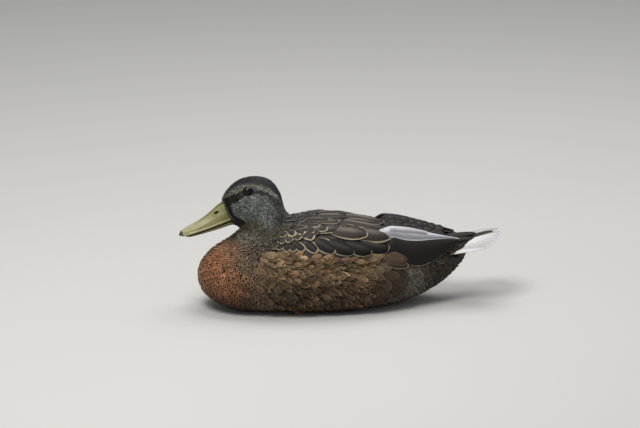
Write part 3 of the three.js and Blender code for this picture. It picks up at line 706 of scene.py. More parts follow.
def markings(points, kind, rng):
    """Ground and fringe colours, and the strengths of spot, shaft and rim, at each root."""
    mm = points / MM
    x, y, z = mm[:, 0], np.abs(mm[:, 1]), mm[:, 2]
    shares = tract_shares(mm, kind)
    count = len(mm)
    cloud = mottle(mm / 9.0, 3.0)

    # Breast: chestnut with a dark spot in each feather, paler above, darker towards the sides, and painted
    # shade low down.
    breast = shares["breast"]
    upper = breast * ease(*BODY_TURNS["upper_breast"], z)
    # Painted shade: the breast is darker towards the bottom, where less light reaches.
    low = breast * ease(*BODY_TURNS["low_breast_painted_shade"], z)
    sideways = ease(*BODY_TURNS["breast_side"], x + 0.15 * (z - 40)) * (breast + shares["shoulder"])
    sideways = np.clip(sideways, 0, 1) * ease(*BODY_TURNS["side"], y)
    ground, fringe = dressed((plain(hue("back"), count), plain(hue("back_edge"), count)), [
        (hue("breast"), hue("breast_edge"), breast), ("#6d5a4b", "#99836f", upper * 0.8),
        ("#35231a", "#593d29", low * 0.9), ("#3a3024", "#84715a", sideways * 0.85),
    ])
    spot = breast * between(0.2, 1.2, rng.random(count)) * (1 - 0.5 * upper)
    dull = (breast > 0.5) & (rng.random(count) < 0.22)
    fringe = np.where(dull[:, None], fringe * 0.5, fringe)

    # Shoulder: dark streaks with buff edges. Rump: dark with faint rusty edges. Flank: tawny with dark crescents,
    # partly painted shade under the tips, some of it rusty, browner towards the rear, with painted light and shade
    # in soft patches and painted shade below.
    shoulder = shares["shoulder"] * (kind != FLANK)
    on_flank = kind == FLANK
    flank = np.clip(shares["flank"] + shares["lobe"] + shares["belly"] * on_flank, 0, 1)
    flank = np.maximum(flank, breast * on_flank * ease(*BODY_TURNS["flank_front"], x))
    rear = flank * ease(*BODY_TURNS["flank_rear"], x)
    rusty = flank * ease(0.1, 0.5, mottle(mm / 6.0, 21.0)) * (1 - rear)
    # Painted shade: the flank darkens towards the bottom, and low down at the rear.
    painted_shade_low_rear = flank * ease(*BODY_TURNS["painted_shade_low_rear"], x) * ease(*BODY_TURNS["painted_shade_low_rear_up"], z)
    under = np.maximum(flank * ease(*BODY_TURNS["under_flank_painted_shade"], z), painted_shade_low_rear)
    ground, fringe = dressed((ground, fringe), [
        ("#1b1917", "#857660", shoulder * 0.9), ("#221c18", "#503b2c", shares["rump"]),
        (hue("tawny"), hue("tawny_edge"), flank), ("#62513c", "#7a6850", rear),
        ("#6e4a31", "#825c3f", rusty * 0.6), ("#2b2118", "#57452f", np.clip(under * 0.85, 0, 1)),
    ])
    # Painted light and shade: soft patches over the flank, lighter and darker, stand in for the light and shade of
    # its clumps.
    light = mottle(np.stack([x / 8.0, y / 8.0, z / 5.5], axis=1), 15.0)[:, None]
    clumps = (flank * (1 - rear))[:, None]
    fringe = fringe * np.exp(1.3 * light * clumps)
    ground = ground * np.exp(1.1 * light * clumps)
    # About a third of the flank's tips are painted dark as crescents, partly real marks and partly painted shade
    # under the tips; a few are painted pale.
    tawny = clumps > 0.5
    draw = rng.random(count)[:, None]
    fringe = np.where(tawny & (draw < 0.35), fringe * 0.38, fringe)
    fringe = np.where(tawny & (draw > 0.93), fringe * 1.5, fringe)
    ground = np.where(tawny, ground * rng.uniform(0.32, 1.65, count)[:, None], ground)

    # Belly, vent and the feathers under the tail.
    belly, vent = shares["belly"] * (kind != FLANK), shares["vent"]
    behind = vent * ease(*BODY_TURNS["vent_rear"], x + 5 * cloud)
    ground, fringe = dressed((ground, fringe), [
        ("#6d5e49", "#988a70", belly), ("#5d584e", "#827c70", vent), ("#2c261d", "#564b39", behind),
    ])

    head = shares["head"] + shares["neck"]
    head_ground, head_fringe = head_colours(mm, rng)
    ground = between(ground, head_ground, head[:, None])
    fringe = between(fringe, head_fringe, head[:, None])
    spot = spot - 0.8 * shares["lobe"] * on_flank + 0.35 * belly + 0.5 * vent
    rim = 0.16 + 0.14 * breast + 0.1 * shoulder + 0.1 * flank * (1 - rear)
    mark = np.stack([spot * (1 - shares["head"]), np.zeros(count), between(rim, 0.42, head)], axis=1)
    tone = (between(0.78, 1.25, rng.random(count)) * np.exp(0.35 * cloud * (1 - head)))[:, None]
    return ground * tone, fringe * tone, mark


# ---- Plumage: the vanes ----
ROW_CROWD = 1.6  # crowds the rows of a vane towards its tip
TIP_RIM = 2.2  # how fast the distance from the rim grows from the tip
DRAG = 0.12  # how far a ragged edge lags behind the shaft


def vane_mesh(name, rows, across, under, root_power, tip_power, ragged, seed):
    """A closed feather vane, 1 long and 1 wide, flat until it is laid, with a point at each end."""
    rng = np.random.default_rng(seed)
    share = np.arange(1, rows + 1) / (rows + 1)
    along = 1 - (1 - share) ** ROW_CROWD
    peak = root_power / (root_power + tip_power)
    widest = peak ** root_power * (1 - peak) ** tip_power
    half = along ** root_power * (1 - along) ** tip_power / widest / 2
    top = np.linspace(-1, 1, across + 1)
    bottom = np.linspace(1, -1, under + 2)[1:-1]
    loop = np.concatenate([top, bottom])
    below = np.concatenate([np.zeros(len(top)), np.ones(len(bottom))])
    notch = rng.uniform(-1, 1, (rows, 2)) * ragged * along[:, None]
    corners, attributes = [(0.0, 0.0, 0.0)], [(0.0, 0.0, 0.0, 0.0, 0.0)]
    for i in range(rows):
        for v, t in zip(loop, below):
            side = 1 + (notch[i, 0] if v < 0 else notch[i, 1]) * abs(v)
            drag = ragged * DRAG * abs(v) * along[i]
            corners.append((along[i] - drag, v * half[i] * side, 0.0))
            rim = min((1 - abs(v)) * 2 * half[i], (1 - along[i]) * TIP_RIM)
            attributes.append((along[i], v, rim, t, (1 - v * v) * 2 * half[i]))
    corners.append((1.0, 0.0, 0.0))
    attributes.append((1.0, 0.0, 0.0, 0.0, 0.0))
    size, last = len(loop), len(corners) - 1
    faces = [(0, 1 + j, 1 + (j + 1) % size) for j in range(size)]
    for i in range(rows - 1):
        for j in range(size):
            a, b = 1 + i * size + j, 1 + i * size + (j + 1) % size
            faces.append((a, a + size, b + size, b))
    tail = 1 + (rows - 1) * size
    faces += [(tail + j, last, tail + (j + 1) % size) for j in range(size)]
    mesh = bpy.data.meshes.new(name)
    mesh.from_pydata(corners, [], [face[::-1] for face in faces])
    attributes = np.array(attributes)
    for column, attribute in enumerate(("vane_u", "vane_v", "vane_rim", "vane_under", "vane_rise")):
        store(mesh, attribute, attributes[:, column])
    on_rim = np.abs(attributes[:, 1]) > 0.999
    on_rim[[0, last]] = True
    store(mesh, "sharp_edge", on_rim[edges_of(mesh)].all(axis=1), "BOOLEAN", "EDGE")
    mesh.shade_smooth()
    return mesh


# Rows along a vane, quads across its top and its underside, the powers that shape its root and tip, how
# ragged its edge is, its first seed and how many patterns there are.
PATTERNS = {
    "tuft": (3, 2, 0, 0.45, 0.72, 0.1, 0, 3),
    "scale": (5, 4, 1, 0.42, 0.5, 0.16, 10, 4),
    "plume": (11, 6, 1, 0.4, 0.44, 0.22, 20, 5),
    "smooth": (15, 8, 1, 0.4, 0.42, 0.05, 30, 4),
}


def vane_patterns(name):
    """The patterns that the vanes of one tract are copied from, kept out of the scene."""
    if name not in bpy.data.collections:
        *shape, seed, count = PATTERNS[name]
        group = bpy.data.collections.new(name)
        for i in range(count):
            mesh = vane_mesh(f"{name}_{i}", *shape, seed + i)
            group.objects.link(bpy.data.objects.new(mesh.name, mesh))
    return bpy.data.collections[name]


# What each vane's pattern and each root hand to the node tree, and the kinds of it.
VANE_FIELDS = {
    "vane_u": "FLOAT", "vane_v": "FLOAT", "vane_under": "FLOAT", "vane_rise": "FLOAT",
    "lie_normal": "FLOAT_VECTOR",
}
ROOT_FIELDS = {
    "normal": "FLOAT_VECTOR", "lie": "FLOAT_VECTOR", "reach": "FLOAT", "girth": "FLOAT", "lift": "FLOAT",
    "curl": "FLOAT", "base": "FLOAT", "tilt": "FLOAT",
}
VANE_INPUTS = {
    "Geometry": "Geometry", "Skin": "Object", "Vanes": "Collection", "Stray": "Float", "Camber": "Float",
    "Thickness": "Float", "Seed": "Int", "Material": "Material",
}
OVER_FLOOR = 0.2 * MM  # no vane comes closer to the floor than this
MOST_PICKS = 97  # a vane's pattern is a random number up to this, counted round the patterns that there are


def vane_tree():
    """Lays a vane at each root along the lie of the coat and bends it to follow the skin."""
    if "lay vanes" in bpy.data.node_groups:
        return bpy.data.node_groups["lay vanes"]
    tree = bpy.data.node_groups.new("lay vanes", "GeometryNodeTree")
    tree.is_modifier = True
    for name, kind in VANE_INPUTS.items():
        tree.interface.new_socket(name, in_out="INPUT", socket_type="NodeSocket" + kind)
    tree.interface.new_socket("Geometry", in_out="OUTPUT", socket_type="NodeSocketGeometry")
    given = put(tree, "NodeGroupInput").outputs
    kinds = {**VANE_FIELDS, **{"root_" + name: kind for name, kind in ROOT_FIELDS.items()}}
    field = {}
    for name, kind in kinds.items():
        field[name] = put(tree, "GeometryNodeInputNamedAttribute", {"Name": name}, data_type=kind)

    # Each copy is turned to its root's lie, with a little stray, and scaled to its length and width.
    turn = put(tree, "FunctionNodeAxesToRotation", {
        "Primary Axis": field["root_normal"], "Secondary Axis": field["root_lie"],
    }, primary_axis="Z", secondary_axis="X")
    least = put(tree, MATH, (given["Stray"], -1.0), operation="MULTIPLY")
    swing = put(tree, "FunctionNodeRandomValue", {
        2: least, 3: given["Stray"], "Seed": given["Seed"],
    }, data_type="FLOAT")
    yaw = put(tree, "FunctionNodeAxisAngleToRotation", {"Axis": (0, 0, 1), "Angle": swing.outputs[1]})
    facing = put(tree, "FunctionNodeRotateRotation", (turn, yaw), rotation_space="LOCAL")
    size = put(tree, "ShaderNodeCombineXYZ", (field["root_reach"], field["root_girth"], field["root_reach"]))
    pick = put(tree, "FunctionNodeRandomValue", {
        4: 0, 5: MOST_PICKS, "Seed": given["Seed"],
    }, data_type="INT")
    patterns = put(tree, "GeometryNodeCollectionInfo", {
        "Collection": given["Vanes"], "Separate Children": True,
    })
    copies = put(tree, "GeometryNodeInstanceOnPoints", {
        "Points": given["Geometry"], "Instance": patterns, "Pick Instance": True,
        "Instance Index": pick.outputs[2], "Rotation": facing, "Scale": size,
    })
    real = put(tree, "GeometryNodeRealizeInstances", {"Geometry": copies})

    # Each corner goes down to the skin and out again along the skin's smooth normal, by the vane's height.
    skin = put(tree, "GeometryNodeObjectInfo", {"Object": given["Skin"]}, transform_space="RELATIVE")
    here = put(tree, "GeometryNodeInputPosition")
    under, upward = (put(tree, "GeometryNodeSampleNearestSurface", {
        "Mesh": skin.outputs["Geometry"], "Value": value, "Sample Position": here,
    }, data_type="FLOAT_VECTOR") for value in (here, field["lie_normal"]))
    along = field["vane_u"]
    height = put(tree, MATH, (field["root_lift"], along, field["root_base"]), operation="MULTIPLY_ADD")
    dome = put(tree, MATH, (field["root_girth"], given["Camber"]), operation="MULTIPLY")
    bend = put(tree, MATH, (field["root_curl"], field["root_reach"]), operation="MULTIPLY")
    late = put(tree, MATH, (along, 4.0), operation="POWER")
    tilt = put(tree, MATH, (field["root_tilt"], field["root_girth"]), operation="MULTIPLY")
    for first, second in ((dome, field["vane_rise"]), (bend, late), (tilt, field["vane_v"])):
        height = put(tree, MATH, (first, second, height), operation="MULTIPLY_ADD")
    inward = put(tree, MATH, (given["Thickness"], field["vane_under"]), operation="MULTIPLY")
    height = put(tree, MATH, (height, inward), operation="SUBTRACT")
    raised = put(tree, VECTOR, {0: upward, "Scale": height}, operation="SCALE")
    laid = put(tree, VECTOR, (under, raised), operation="ADD")
    parts = put(tree, "ShaderNodeSeparateXYZ", (laid,)).outputs
    floor = put(tree, MATH, (parts[2], OVER_FLOOR), operation="MAXIMUM")
    above = put(tree, "ShaderNodeCombineXYZ", (parts[0], parts[1], floor))
    moved = put(tree, "GeometryNodeSetPosition", {"Geometry": real, "Position": above})
    finished = put(tree, "GeometryNodeSetMaterial", {"Geometry": moved, "Material": given["Material"]})
    put(tree, "NodeGroupOutput", (finished,))
    return tree


PATCH = 0.003  # a vane's patch on the bake map
HEAD_MIDDLE = (-70.0, 0.0, 105.0)  # mm
BILL_WAY = unit(np.array([-0.86, 0.0, 0.51]))  # the axis that the head is unwrapped round
BODY_MIDDLE_Z, BODY_FRONT, BODY_LENGTH = 45, -140, 350  # mm


def unwrap_head(mm):
    """The head and neck opened like an umbrella round the bill: angle from the bill's line is the radius."""
    way = unit(mm - np.array(HEAD_MIDDLE))
    up = np.array([BILL_WAY[2], 0.0, -BILL_WAY[0]])
    bend = np.arccos(np.clip(way @ BILL_WAY, -1, 1)) / math.pi
    turn = np.arctan2(way[:, 1], way @ up)
    return np.stack([0.5 + 0.48 * bend * np.sin(turn), 0.5 + 0.48 * bend * np.cos(turn)], axis=1)


def unwrap_body(mm):
    """The body rolled out as a tube, slit along the belly."""
    turn = np.arctan2(mm[:, 1], mm[:, 2] - BODY_MIDDLE_Z) / math.pi
    along = (mm[:, 0] - BODY_FRONT) / BODY_LENGTH
    return np.stack([0.02 + 0.96 * along, 0.5 + 0.48 * turn], axis=1)


def store_map(mesh, spots):
    """Writes the bake map from one spot for each point."""
    corner = read(mesh.loops, "vertex_index", 1, np.int32)[:, 0]
    layer = mesh.uv_layers.new(name="OFBake")
    layer.data.foreach_set("uv", np.ascontiguousarray(spots[corner], np.float32).ravel())


def add_bake_map(mesh, unwrap):
    """Each vane lies on a small patch at its root's place on the unwrap, which fills the map."""
    spots = unwrap(stored(mesh, "root_place", 3, "vector") / MM)
    low, high = spots.min(axis=0), spots.max(axis=0)
    spots = (spots - low) / np.maximum(high - low, TINY) * (1 - 2 * PATCH) + PATCH
    u, v = (stored(mesh, name, 1, "value")[:, 0] for name in ("vane_u", "vane_v"))
    store_map(mesh, np.clip(spots + np.stack([u - 0.5, v * 0.5], axis=1) * PATCH, 0, 1))


def lay_vanes(name, roots, pattern, unwrap, stray=0.12, camber=0.12, thickness=0.25 * MM, seed=1):
    """One piece of the coat: a vane on each root, as a plain mesh with its bake map."""
    points = bpy.data.meshes.new(name)
    points.from_pydata(roots["place"].tolist(), [], [])
    store(points, "root_place", roots["place"], "FLOAT_VECTOR")
    for field, kind in ROOT_FIELDS.items():
        store(points, "root_" + field, roots[field], kind)
    store_look(points, roots)
    coat = new_object(name, points)
    tree = vane_tree()
    modifier = coat.modifiers.new("vanes", "NODES")
    modifier.node_group = tree
    values = {
        "Skin": STATE["skin"], "Vanes": vane_patterns(pattern), "Stray": stray, "Camber": camber,
        "Thickness": thickness, "Seed": seed, "Material": feather_material(),
    }
    for item in tree.interface.items_tree:
        if item.in_out == "INPUT" and item.name in values:
            modifier[item.identifier] = values[item.name]
    mesh = evaluated(coat).data
    add_bake_map(mesh, unwrap)
    for field in ("place", *ROOT_FIELDS):
        mesh.attributes.remove(mesh.attributes["root_" + field])
    return coat


def chosen(roots, mask):
    return {name: values[mask] for name, values in roots.items()}


def store_look(mesh, look):
    """Writes the colours and the marks that the feathers' material reads."""
    for field in ("ground", "fringe"):
        store(mesh, field, look[field], "FLOAT_COLOR")
    store(mesh, "mark", look["mark"], "FLOAT_VECTOR")


def finish_piece(item, slot, *replaced):
    if not len(item.data.polygons):
        raise RuntimeError(item.name + " came out empty")
    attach(item, "root")
    if replaced:
        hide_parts(*replaced)


# ---- Plumage: the rows of large feathers ----
def on_side(x, angle, side):
    """The skin's place and normal at x (mm) and an angle round the body (degrees from straight up)."""
    spots, normals = [], []
    turn = np.radians(angle)
    for px, pt in zip(x, turn):
        way = Vector((0.0, side * math.sin(pt), math.cos(pt)))
        start = Vector((px * MM, 0.0, BODY_AXIS_Z * MM)) + way * 0.2
        hit, normal, _, _ = STATE["tree"].ray_cast(start, -way)
        spots.append(hit)
        normals.append(normal)
    return np.array(spots), np.array(normals)


# Rows of the folded wing, from the flank up. Each has the tips of its feathers (x, mm) and, at some
# stations along the body (x, mm), the tips' angle round the body, how far the feathers point downwards
# (both in degrees), and their length and width (mm).
ROW_FACTS = ("angle", "dip", "length", "width")
ROWS = [
    {"tips": (-46.5, -40, -33, -24, -10, 10, 31, 51, 71), "x": (-50, -15, 20, 76),
     "angle": (70.5, 73, 74, 73), "dip": (62, 50, 26, 14), "length": (13, 18, 32, 38), "width": (8.5, 11, 20, 24)},
    {"tips": (-42.5, -35, -25.5, -12, 20, 47.5, 76), "x": (-50, -15, 20, 76), "angle": (61.5, 58, 52, 53.5),
     "dip": (58, 44, 14, 7), "length": (12, 17, 38, 50), "width": (9.5, 12, 19, 28)},
    {"tips": (-38, -30, -20.5, -8.5, 4, 76), "x": (-50, 2, 34, 76), "angle": (53, 47, 29, 38),
     "dip": (54, 26, 9, 7), "length": (12, 22, 40, 60), "width": (9, 13, 13, 17)},
    {"tips": (-17, -3, 19, 67), "x": (-50, 2, 34, 76), "angle": (44, 39, 18, 17),
     "dip": (46, 20, 8, 3), "length": (10, 20, 36, 48), "width": (7, 12, 16, 15)},
    {"tips": (8, 30, 71), "x": (-50, 2, 34, 76), "angle": (35, 28, 9, 8),
     "dip": (34, 14, 6, 3), "length": (10, 22, 34, 46), "width": (7, 12, 16, 17)},
]
# One pointed flank feather that lies over the wing behind the others, and how high over the skin (mm).
FLANK_TIP = {"tips": (90,), "x": (90,), "angle": (98,), "dip": (15,), "length": (28,), "width": (8.5,)}
FLANK_TIP_BASE = 3.9
ROW_BASE, OVERLAP = 0.3, 0.75  # the lowest row's height over the skin, and each row's over the one below, mm


def row_roots(row, layer, side, rng):
    """The roots of one row of wing feathers."""
    x = np.array(row["tips"], float)
    angle, dip, length, width = (np.interp(x, row["x"], row[name]) for name in ROW_FACTS)
    count = len(x)
    dip = np.radians(dip + rng.uniform(-3, 3, count))
    length = length * rng.uniform(0.96, 1.04, count)
    tip, _ = on_side(x, angle, side)
    radius = np.linalg.norm(tip[:, 1:] / MM - np.array([0, BODY_AXIS_Z]), axis=1)
    root_x = x - length * np.cos(dip)
    root_angle = angle - np.degrees(length * np.sin(dip) / radius)
    place, normal = on_side(root_x, root_angle, side)
    lie = flattened(tip - place, normal)
    thick = 0.8 + (0.7 + 1.6 * ease(10, 60, x)) * np.clip(layer, 0, 1)
    return {
        "place": place, "normal": normal, "lie": lie, "lift": thick * MM, "curl": np.zeros(count),
        "reach": length * MM, "girth": width * rng.uniform(0.96, 1.04, count) * MM,
        "base": np.full(count, (ROW_BASE + OVERLAP * layer if layer >= 0 else FLANK_TIP_BASE) * MM),
        "tilt": rng.uniform(-0.02, 0.02, count), "layer": np.full(count, layer), "x": x,
    }


def wing_colours(roots, rng):
    """Near black below with buff edges, grey brown above and behind, with dull edges on the top row."""
    layer, x = roots["layer"], roots["x"]
    count = len(x)
    large, upper = ease(-10, 30, x), ease(0.4, 1.4, layer)
    ground = layered(plain(hue("wing"), count), [
        ("#372f29", upper * large), ("#211c19", upper * (1 - large)),
        ("#332c28", ease(1.6, 2.6, layer) * large), ("#34291e", layer < 0),
    ])
    fringe = paint(plain(hue("wing_edge"), count), "#6b6258", ease(2.4, 3.4, layer))
    tone = rng.uniform(0.85, 1.15, count)[:, None]
    # The quill's strength also sets how strong the painted sheen along each shaft is.
    quill, rim = between(0.1, 0.6, upper * large), between(0.31, 0.13, large)
    mark = np.stack([np.zeros(count), quill, rim], axis=1)
    roots["ground"], roots["fringe"], roots["mark"] = ground * tone, fringe * tone, mark
    return roots


def merged(parts):
    return {name: np.concatenate([part[name] for part in parts]) for name in parts[0]}


def build_wing(side_name):
    side = SIDES[side_name]
    rng = np.random.default_rng(40)
    parts = [row_roots(row, layer, side, rng) for layer, row in enumerate(ROWS)]
    parts.append(row_roots(FLANK_TIP, -1, side, rng))
    roots = wing_colours(merged(parts), rng)
    wing = lay_vanes(
        "wing_coverts_" + side_name, roots, "smooth", unwrap_body,
        stray=0.03, camber=0.09, thickness=0.4 * MM, seed=5,
    )
    finish_piece(wing, "dark_brown")


# ---- Long feathers of the folded wing ----
PANEL_ROUNDS = 40  # smoothing rounds on the lines of a panel
PANEL_STEPS = 81
SAME_STATION = 0.06  # mm


def edge_lines(node):
    """The upper edge, lower edge and outward bulge of a CAD panel at each of its stations, in mm."""
    points = np.unique(np.round(points_of(NODES[node].data) / MM, 2), axis=0)
    places, counts = np.unique(np.round(points[:, 0], 1), return_counts=True)
    stations = []
    for x in places[counts >= 0.75 * counts.max()]:
        ring = points[np.abs(points[:, 0] - x) < SAME_STATION][:, 1:]
        upper, lower = ring[np.argmax(ring[:, 1])], ring[np.argmin(ring[:, 1])]
        chord = lower - upper
        length = np.linalg.norm(chord)
        outward = np.array([-chord[1], chord[0]]) / length
        outward *= np.sign(outward[0]) * np.sign(ring[:, 0].mean())
        stations.append([x, *upper, *lower, ((ring - upper) @ outward).max()])
    lines = np.array(stations)
    depth = np.linalg.norm(lines[:, 3:5] - lines[:, 1:3], axis=1)
    whole = np.ones(len(lines), bool)
    whole[1:-1] = depth[1:-1] >= np.minimum(depth[:-2], depth[2:])
    lines = lines[whole]
    # Finer and rounder than the CAD's few stations, with both ends kept.
    x = np.linspace(lines[0, 0], lines[-1, 0], PANEL_STEPS)
    fine = np.stack([x] + [np.interp(x, lines[:, 0], column) for column in lines[:, 1:].T], axis=1)
    for _ in range(PANEL_ROUNDS):
        fine[1:-1, 1:] = (fine[:-2, 1:] + 2 * fine[1:-1, 1:] + fine[2:, 1:]) / 4
    return fine


def panel_point(lines, x, t, rise):
    """A point on a CAD panel's outer side: t runs from its upper edge to its lower one. All in mm."""
    upper = np.stack([np.interp(x, lines[:, 0], lines[:, i]) for i in (1, 2)], axis=-1)
    lower = np.stack([np.interp(x, lines[:, 0], lines[:, i]) for i in (3, 4)], axis=-1)
    bulge = np.interp(x, lines[:, 0], lines[:, 5])
    chord = lower - upper
    outward = unit(np.stack([-chord[..., 1], chord[..., 0]], axis=-1))
    outward *= (np.sign(outward[..., 0]) * np.sign(upper[..., 0]))[..., None]
    inside = np.clip(t, 0, 1)
    push = bulge * 4 * inside * (1 - inside) + rise
    flat = upper + chord * t[..., None] + outward * push[..., None]
    return np.stack([x, flat[..., 0], flat[..., 1]], axis=-1) * MM


def grid_feather(rows, columns, make):
    """Corners and faces of one feather sheet. make(u, v) gives the place and the colours of its grid."""
    u, v = np.meshgrid(np.linspace(0, 1, rows + 1), np.linspace(-1, 1, columns + 1), indexing="ij")
    place, ground, fringe, mark = make(u, v)
    step = columns + 1
    faces = [(i * step + j, i * step + j + 1, (i + 1) * step + j + 1, (i + 1) * step + j)
             for i in range(rows) for j in range(columns)]
    rim = np.minimum(1 - np.abs(v), (1 - u) * 6)
    return {
        "place": place.reshape(-1, 3), "faces": faces, "ground": ground.reshape(-1, 3),
        "fringe": fringe.reshape(-1, 3), "mark": mark.reshape(-1, 3),
        "u": u.ravel(), "v": v.ravel(), "rim": rim.ravel(),
    }


def feather_piece(name, sheets, thickness):
    """One piece from several feather sheets. Each sheet has a strip of the bake map to itself."""
    whole = merged([{key: sheet[key] for key in sheet if key != "faces"} for sheet in sheets])
    faces, start = [], 0
    for sheet in sheets:
        faces += [tuple(start + i for i in face) for face in sheet["faces"]]
        start += len(sheet["place"])
    mesh = bpy.data.meshes.new(name)
    mesh.from_pydata(whole["place"].tolist(), [], faces)
    store_look(mesh, whole)
    for field in ("u", "v", "rim"):
        store(mesh, "vane_" + field, whole[field])
    strip = np.repeat(np.arange(len(sheets)), [len(sheet["u"]) for sheet in sheets])
    across = (strip + 0.5 + 0.46 * whole["v"]) / len(sheets)
    store_map(mesh, np.stack([0.01 + 0.98 * whole["u"], across], axis=1))
    mesh.materials.append(feather_material())
    mesh.shade_smooth()
    item = new_object(name, mesh)
    wall = item.modifiers.new("thickness", "SOLIDIFY")
    wall.thickness = thickness
    wall.offset = -1.0
    return item


# Feathers on the tertials' panel: from and to (x, mm), upper and lower margin (share of the panel from
# its upper edge) at the root and near the tip, how far it stands out (mm), its colours and its quill, whose
# strength also sets the painted sheen along the shaft.
TERTIAL_FEATHERS = [
    {"x": (60, 138), "t": (0.5, 1.0, 0.3, 0.97), "rise": -0.6, "tuck": 2.0, "edge": 0.04, "quill": 0.0,
     "ground": "#12100f", "fringe": "#2b2622"},
    {"x": (50, 151.4), "t": (0.1, 0.99, 0.02, 0.99), "rise": 0.0, "tuck": 3.2, "edge": 0.035, "quill": 0.0,
     "ground": "#1f1c1a", "fringe": "#968d7f"},
    {"x": (46, 150.8), "t": (-0.04, 0.45, -0.02, 0.17), "rise": 0.35, "tuck": 8.0, "edge": 0.3, "quill": 0.2,
     "ground": "#9a9ba0", "fringe": "#bcbabc"},
    {"x": (48, 116), "t": (-0.06, 0.26, -0.05, 0.1), "rise": 0.7, "tuck": 8.5, "edge": 0.25, "quill": 0.25,
     "ground": "#a09da2", "fringe": "#c2bebe"},
]
PRIMARY_FEATHERS = [
    {"x": (94, 173), "t": (0.1, 1.0, 0.0, 1.0), "rise": 0.0, "tuck": 0.0, "edge": 0.1, "quill": 0.15,
     "ground": "#1d1916", "fringe": "#40382f"},
    {"x": (92, 164), "t": (-0.1, 0.85, 0.0, 0.9), "rise": 0.7, "tuck": 0.0, "edge": 0.1, "quill": 0.15,
     "ground": "#231f1c", "fringe": "#4a4138"},
    {"x": (92, 153), "t": (-0.2, 0.62, -0.1, 0.6), "rise": 1.3, "tuck": 0.0, "edge": 0.1, "quill": 0.15,
     "ground": "#1f1b18", "fringe": "#463d34"},
]
TUCK_REACH = 27.0  # mm from its front end over which a feather comes out from under the scapulars
ROUND_TIP, ROUND_ROOT = 0.93, 0.1  # shares of its length where its round tip starts and its root ends


def even(u, colour):
    """One colour, a hex code or linear, for the whole grid of a feather."""
    return plain(colour, u.size).reshape(u.shape + (3,))


def even_mark(u, spot, quill, rim):
    return np.ones(u.shape + (3,)) * (spot, quill, rim)


def panel_feather(lines, facts, side):
    """One long feather laid on a CAD panel."""
    def make(u, v):
        x = between(*facts["x"], u)
        root_up, root_low, tip_up, tip_low = facts["t"]
        toward_tip = ease(0.1, 0.95, u)
        up, low = between(root_up, tip_up, toward_tip), between(root_low, tip_low, toward_tip)
        rounding = np.sqrt(np.clip(1 - np.clip((u - ROUND_TIP) / (1 - ROUND_TIP), 0, 1) ** 2, 0, 1))
        rounding *= between(0.3, 1.0, np.sqrt(np.clip(u / ROUND_ROOT, 0, 1)))
        middle, half = (up + low) / 2, (low - up) / 2 * rounding
        tucked = facts["tuck"] * ease(facts["x"][0] + TUCK_REACH, facts["x"][0], x)
        stand = facts["rise"] - tucked + 0.5 * (1 - v * v) * rounding
        place = panel_point(lines, x, middle + half * v, stand)
        place[..., 2] -= 0.8 * tucked * MM
        # Painted sheen and shade: each feather's ground is painted lighter towards its upper edge and darker
        # towards its lower one.
        ground = even(u, facts["ground"]) * between(1.9, 0.6, ease(-1, 0.6, v))[..., None]
        return place, ground, even(u, facts["fringe"]), even_mark(u, 0, facts["quill"], facts["edge"])
    sheet = grid_feather(60, 14, make)
    if side == LEFT:
        sheet["faces"] = [face[::-1] for face in sheet["faces"]]
    return sheet


def build_long_feathers(node, feathers, name, slot):
    for side_name, side in SIDES.items():
        lines = edge_lines(f"{node}_{side_name}")
        sheets = [panel_feather(lines, facts, side) for facts in feathers]
        item = feather_piece(f"{name}_{side_name}", sheets, 0.5 * MM)
        finish_piece(item, slot, f"{node}_{side_name}")


# The feathers that bridge the back between the wings' upper edges: tips' x, spacing across, length and
# width (mm), and the height of the back's middle at some stations (x, mm).
SADDLE = {
    "tips": np.arange(72.5, 141, 7.5), "apart": 7.5, "length": 19, "width": 11, "over": 0.4, "fall": 0.8,
    "x": (60, 76, 92, 110, 130, 150), "z": (87.5, 84, 79.5, 74.5, 69.5, 67), "sunk": 6.5, "front": (84, 56),
    "turn": 8, "stray": 1.8,
}


def saddle_height(lines, x, y):
    """Height between the two wings at a place on the back, in mm."""
    beside = np.interp(x, lines[:, 0], np.abs(lines[:, 1]))
    top = np.interp(x, lines[:, 0], lines[:, 2]) + SADDLE["over"] - 0.4 * np.maximum(lines[0, 0] - x, 0)
    middle = np.interp(x, SADDLE["x"], SADDLE["z"])
    share = np.clip(np.abs(y) / beside, 0, 1)
    sunk = SADDLE["sunk"] * ease(*SADDLE["front"], x)
    return middle + (top - middle) * share ** 2 - SADDLE["fall"] * np.maximum(np.abs(y) - beside, 0) - sunk


def saddle_feather(lines, tip, aside, rng):
    length, width = (SADDLE[name] * rng.uniform(0.9, 1.1) for name in ("length", "width"))
    turn = rng.uniform(-SADDLE["turn"], SADDLE["turn"])
    tone = rng.uniform(0.75, 1.25)

    def place(points):
        points = turned(points - np.array([length, 0, 0]), "Z", turn) + np.array([tip, aside, 0])
        rise = ease(tip - length, tip, points[:, 0])
        points[:, 2] += saddle_height(lines, points[:, 0], points[:, 1]) + 0.3 + 1.5 * rise
        return points

    def colours(u, v):
        return even(u, "#1d1815") * tone, even(u, "#4c392c") * tone, even_mark(u, 0, 0.15, 0.17)

    return quill_feather(length, width, colours, place, 11, 6, 0.5, 0.3, 0.06)


def build_saddle():
    rng = np.random.default_rng(70)
    lines = edge_lines("tertials_left")
    sheets = []
    for row, tip in enumerate(SADDLE["tips"]):
        room = np.interp(tip - 4, lines[:, 0], np.abs(lines[:, 1])) - 0.45 * SADDLE["width"]
        count = max(2, round(2 * room / SADDLE["apart"]) + row % 2)
        for aside in np.linspace(-room, room, count):
            tip_here = tip + rng.uniform(-SADDLE["stray"], SADDLE["stray"])
            sheets.append(saddle_feather(lines, tip_here, aside, rng))
    saddle = feather_piece("saddle_feathers", sheets, 0.35 * MM)
    finish_piece(saddle, "dark_brown")


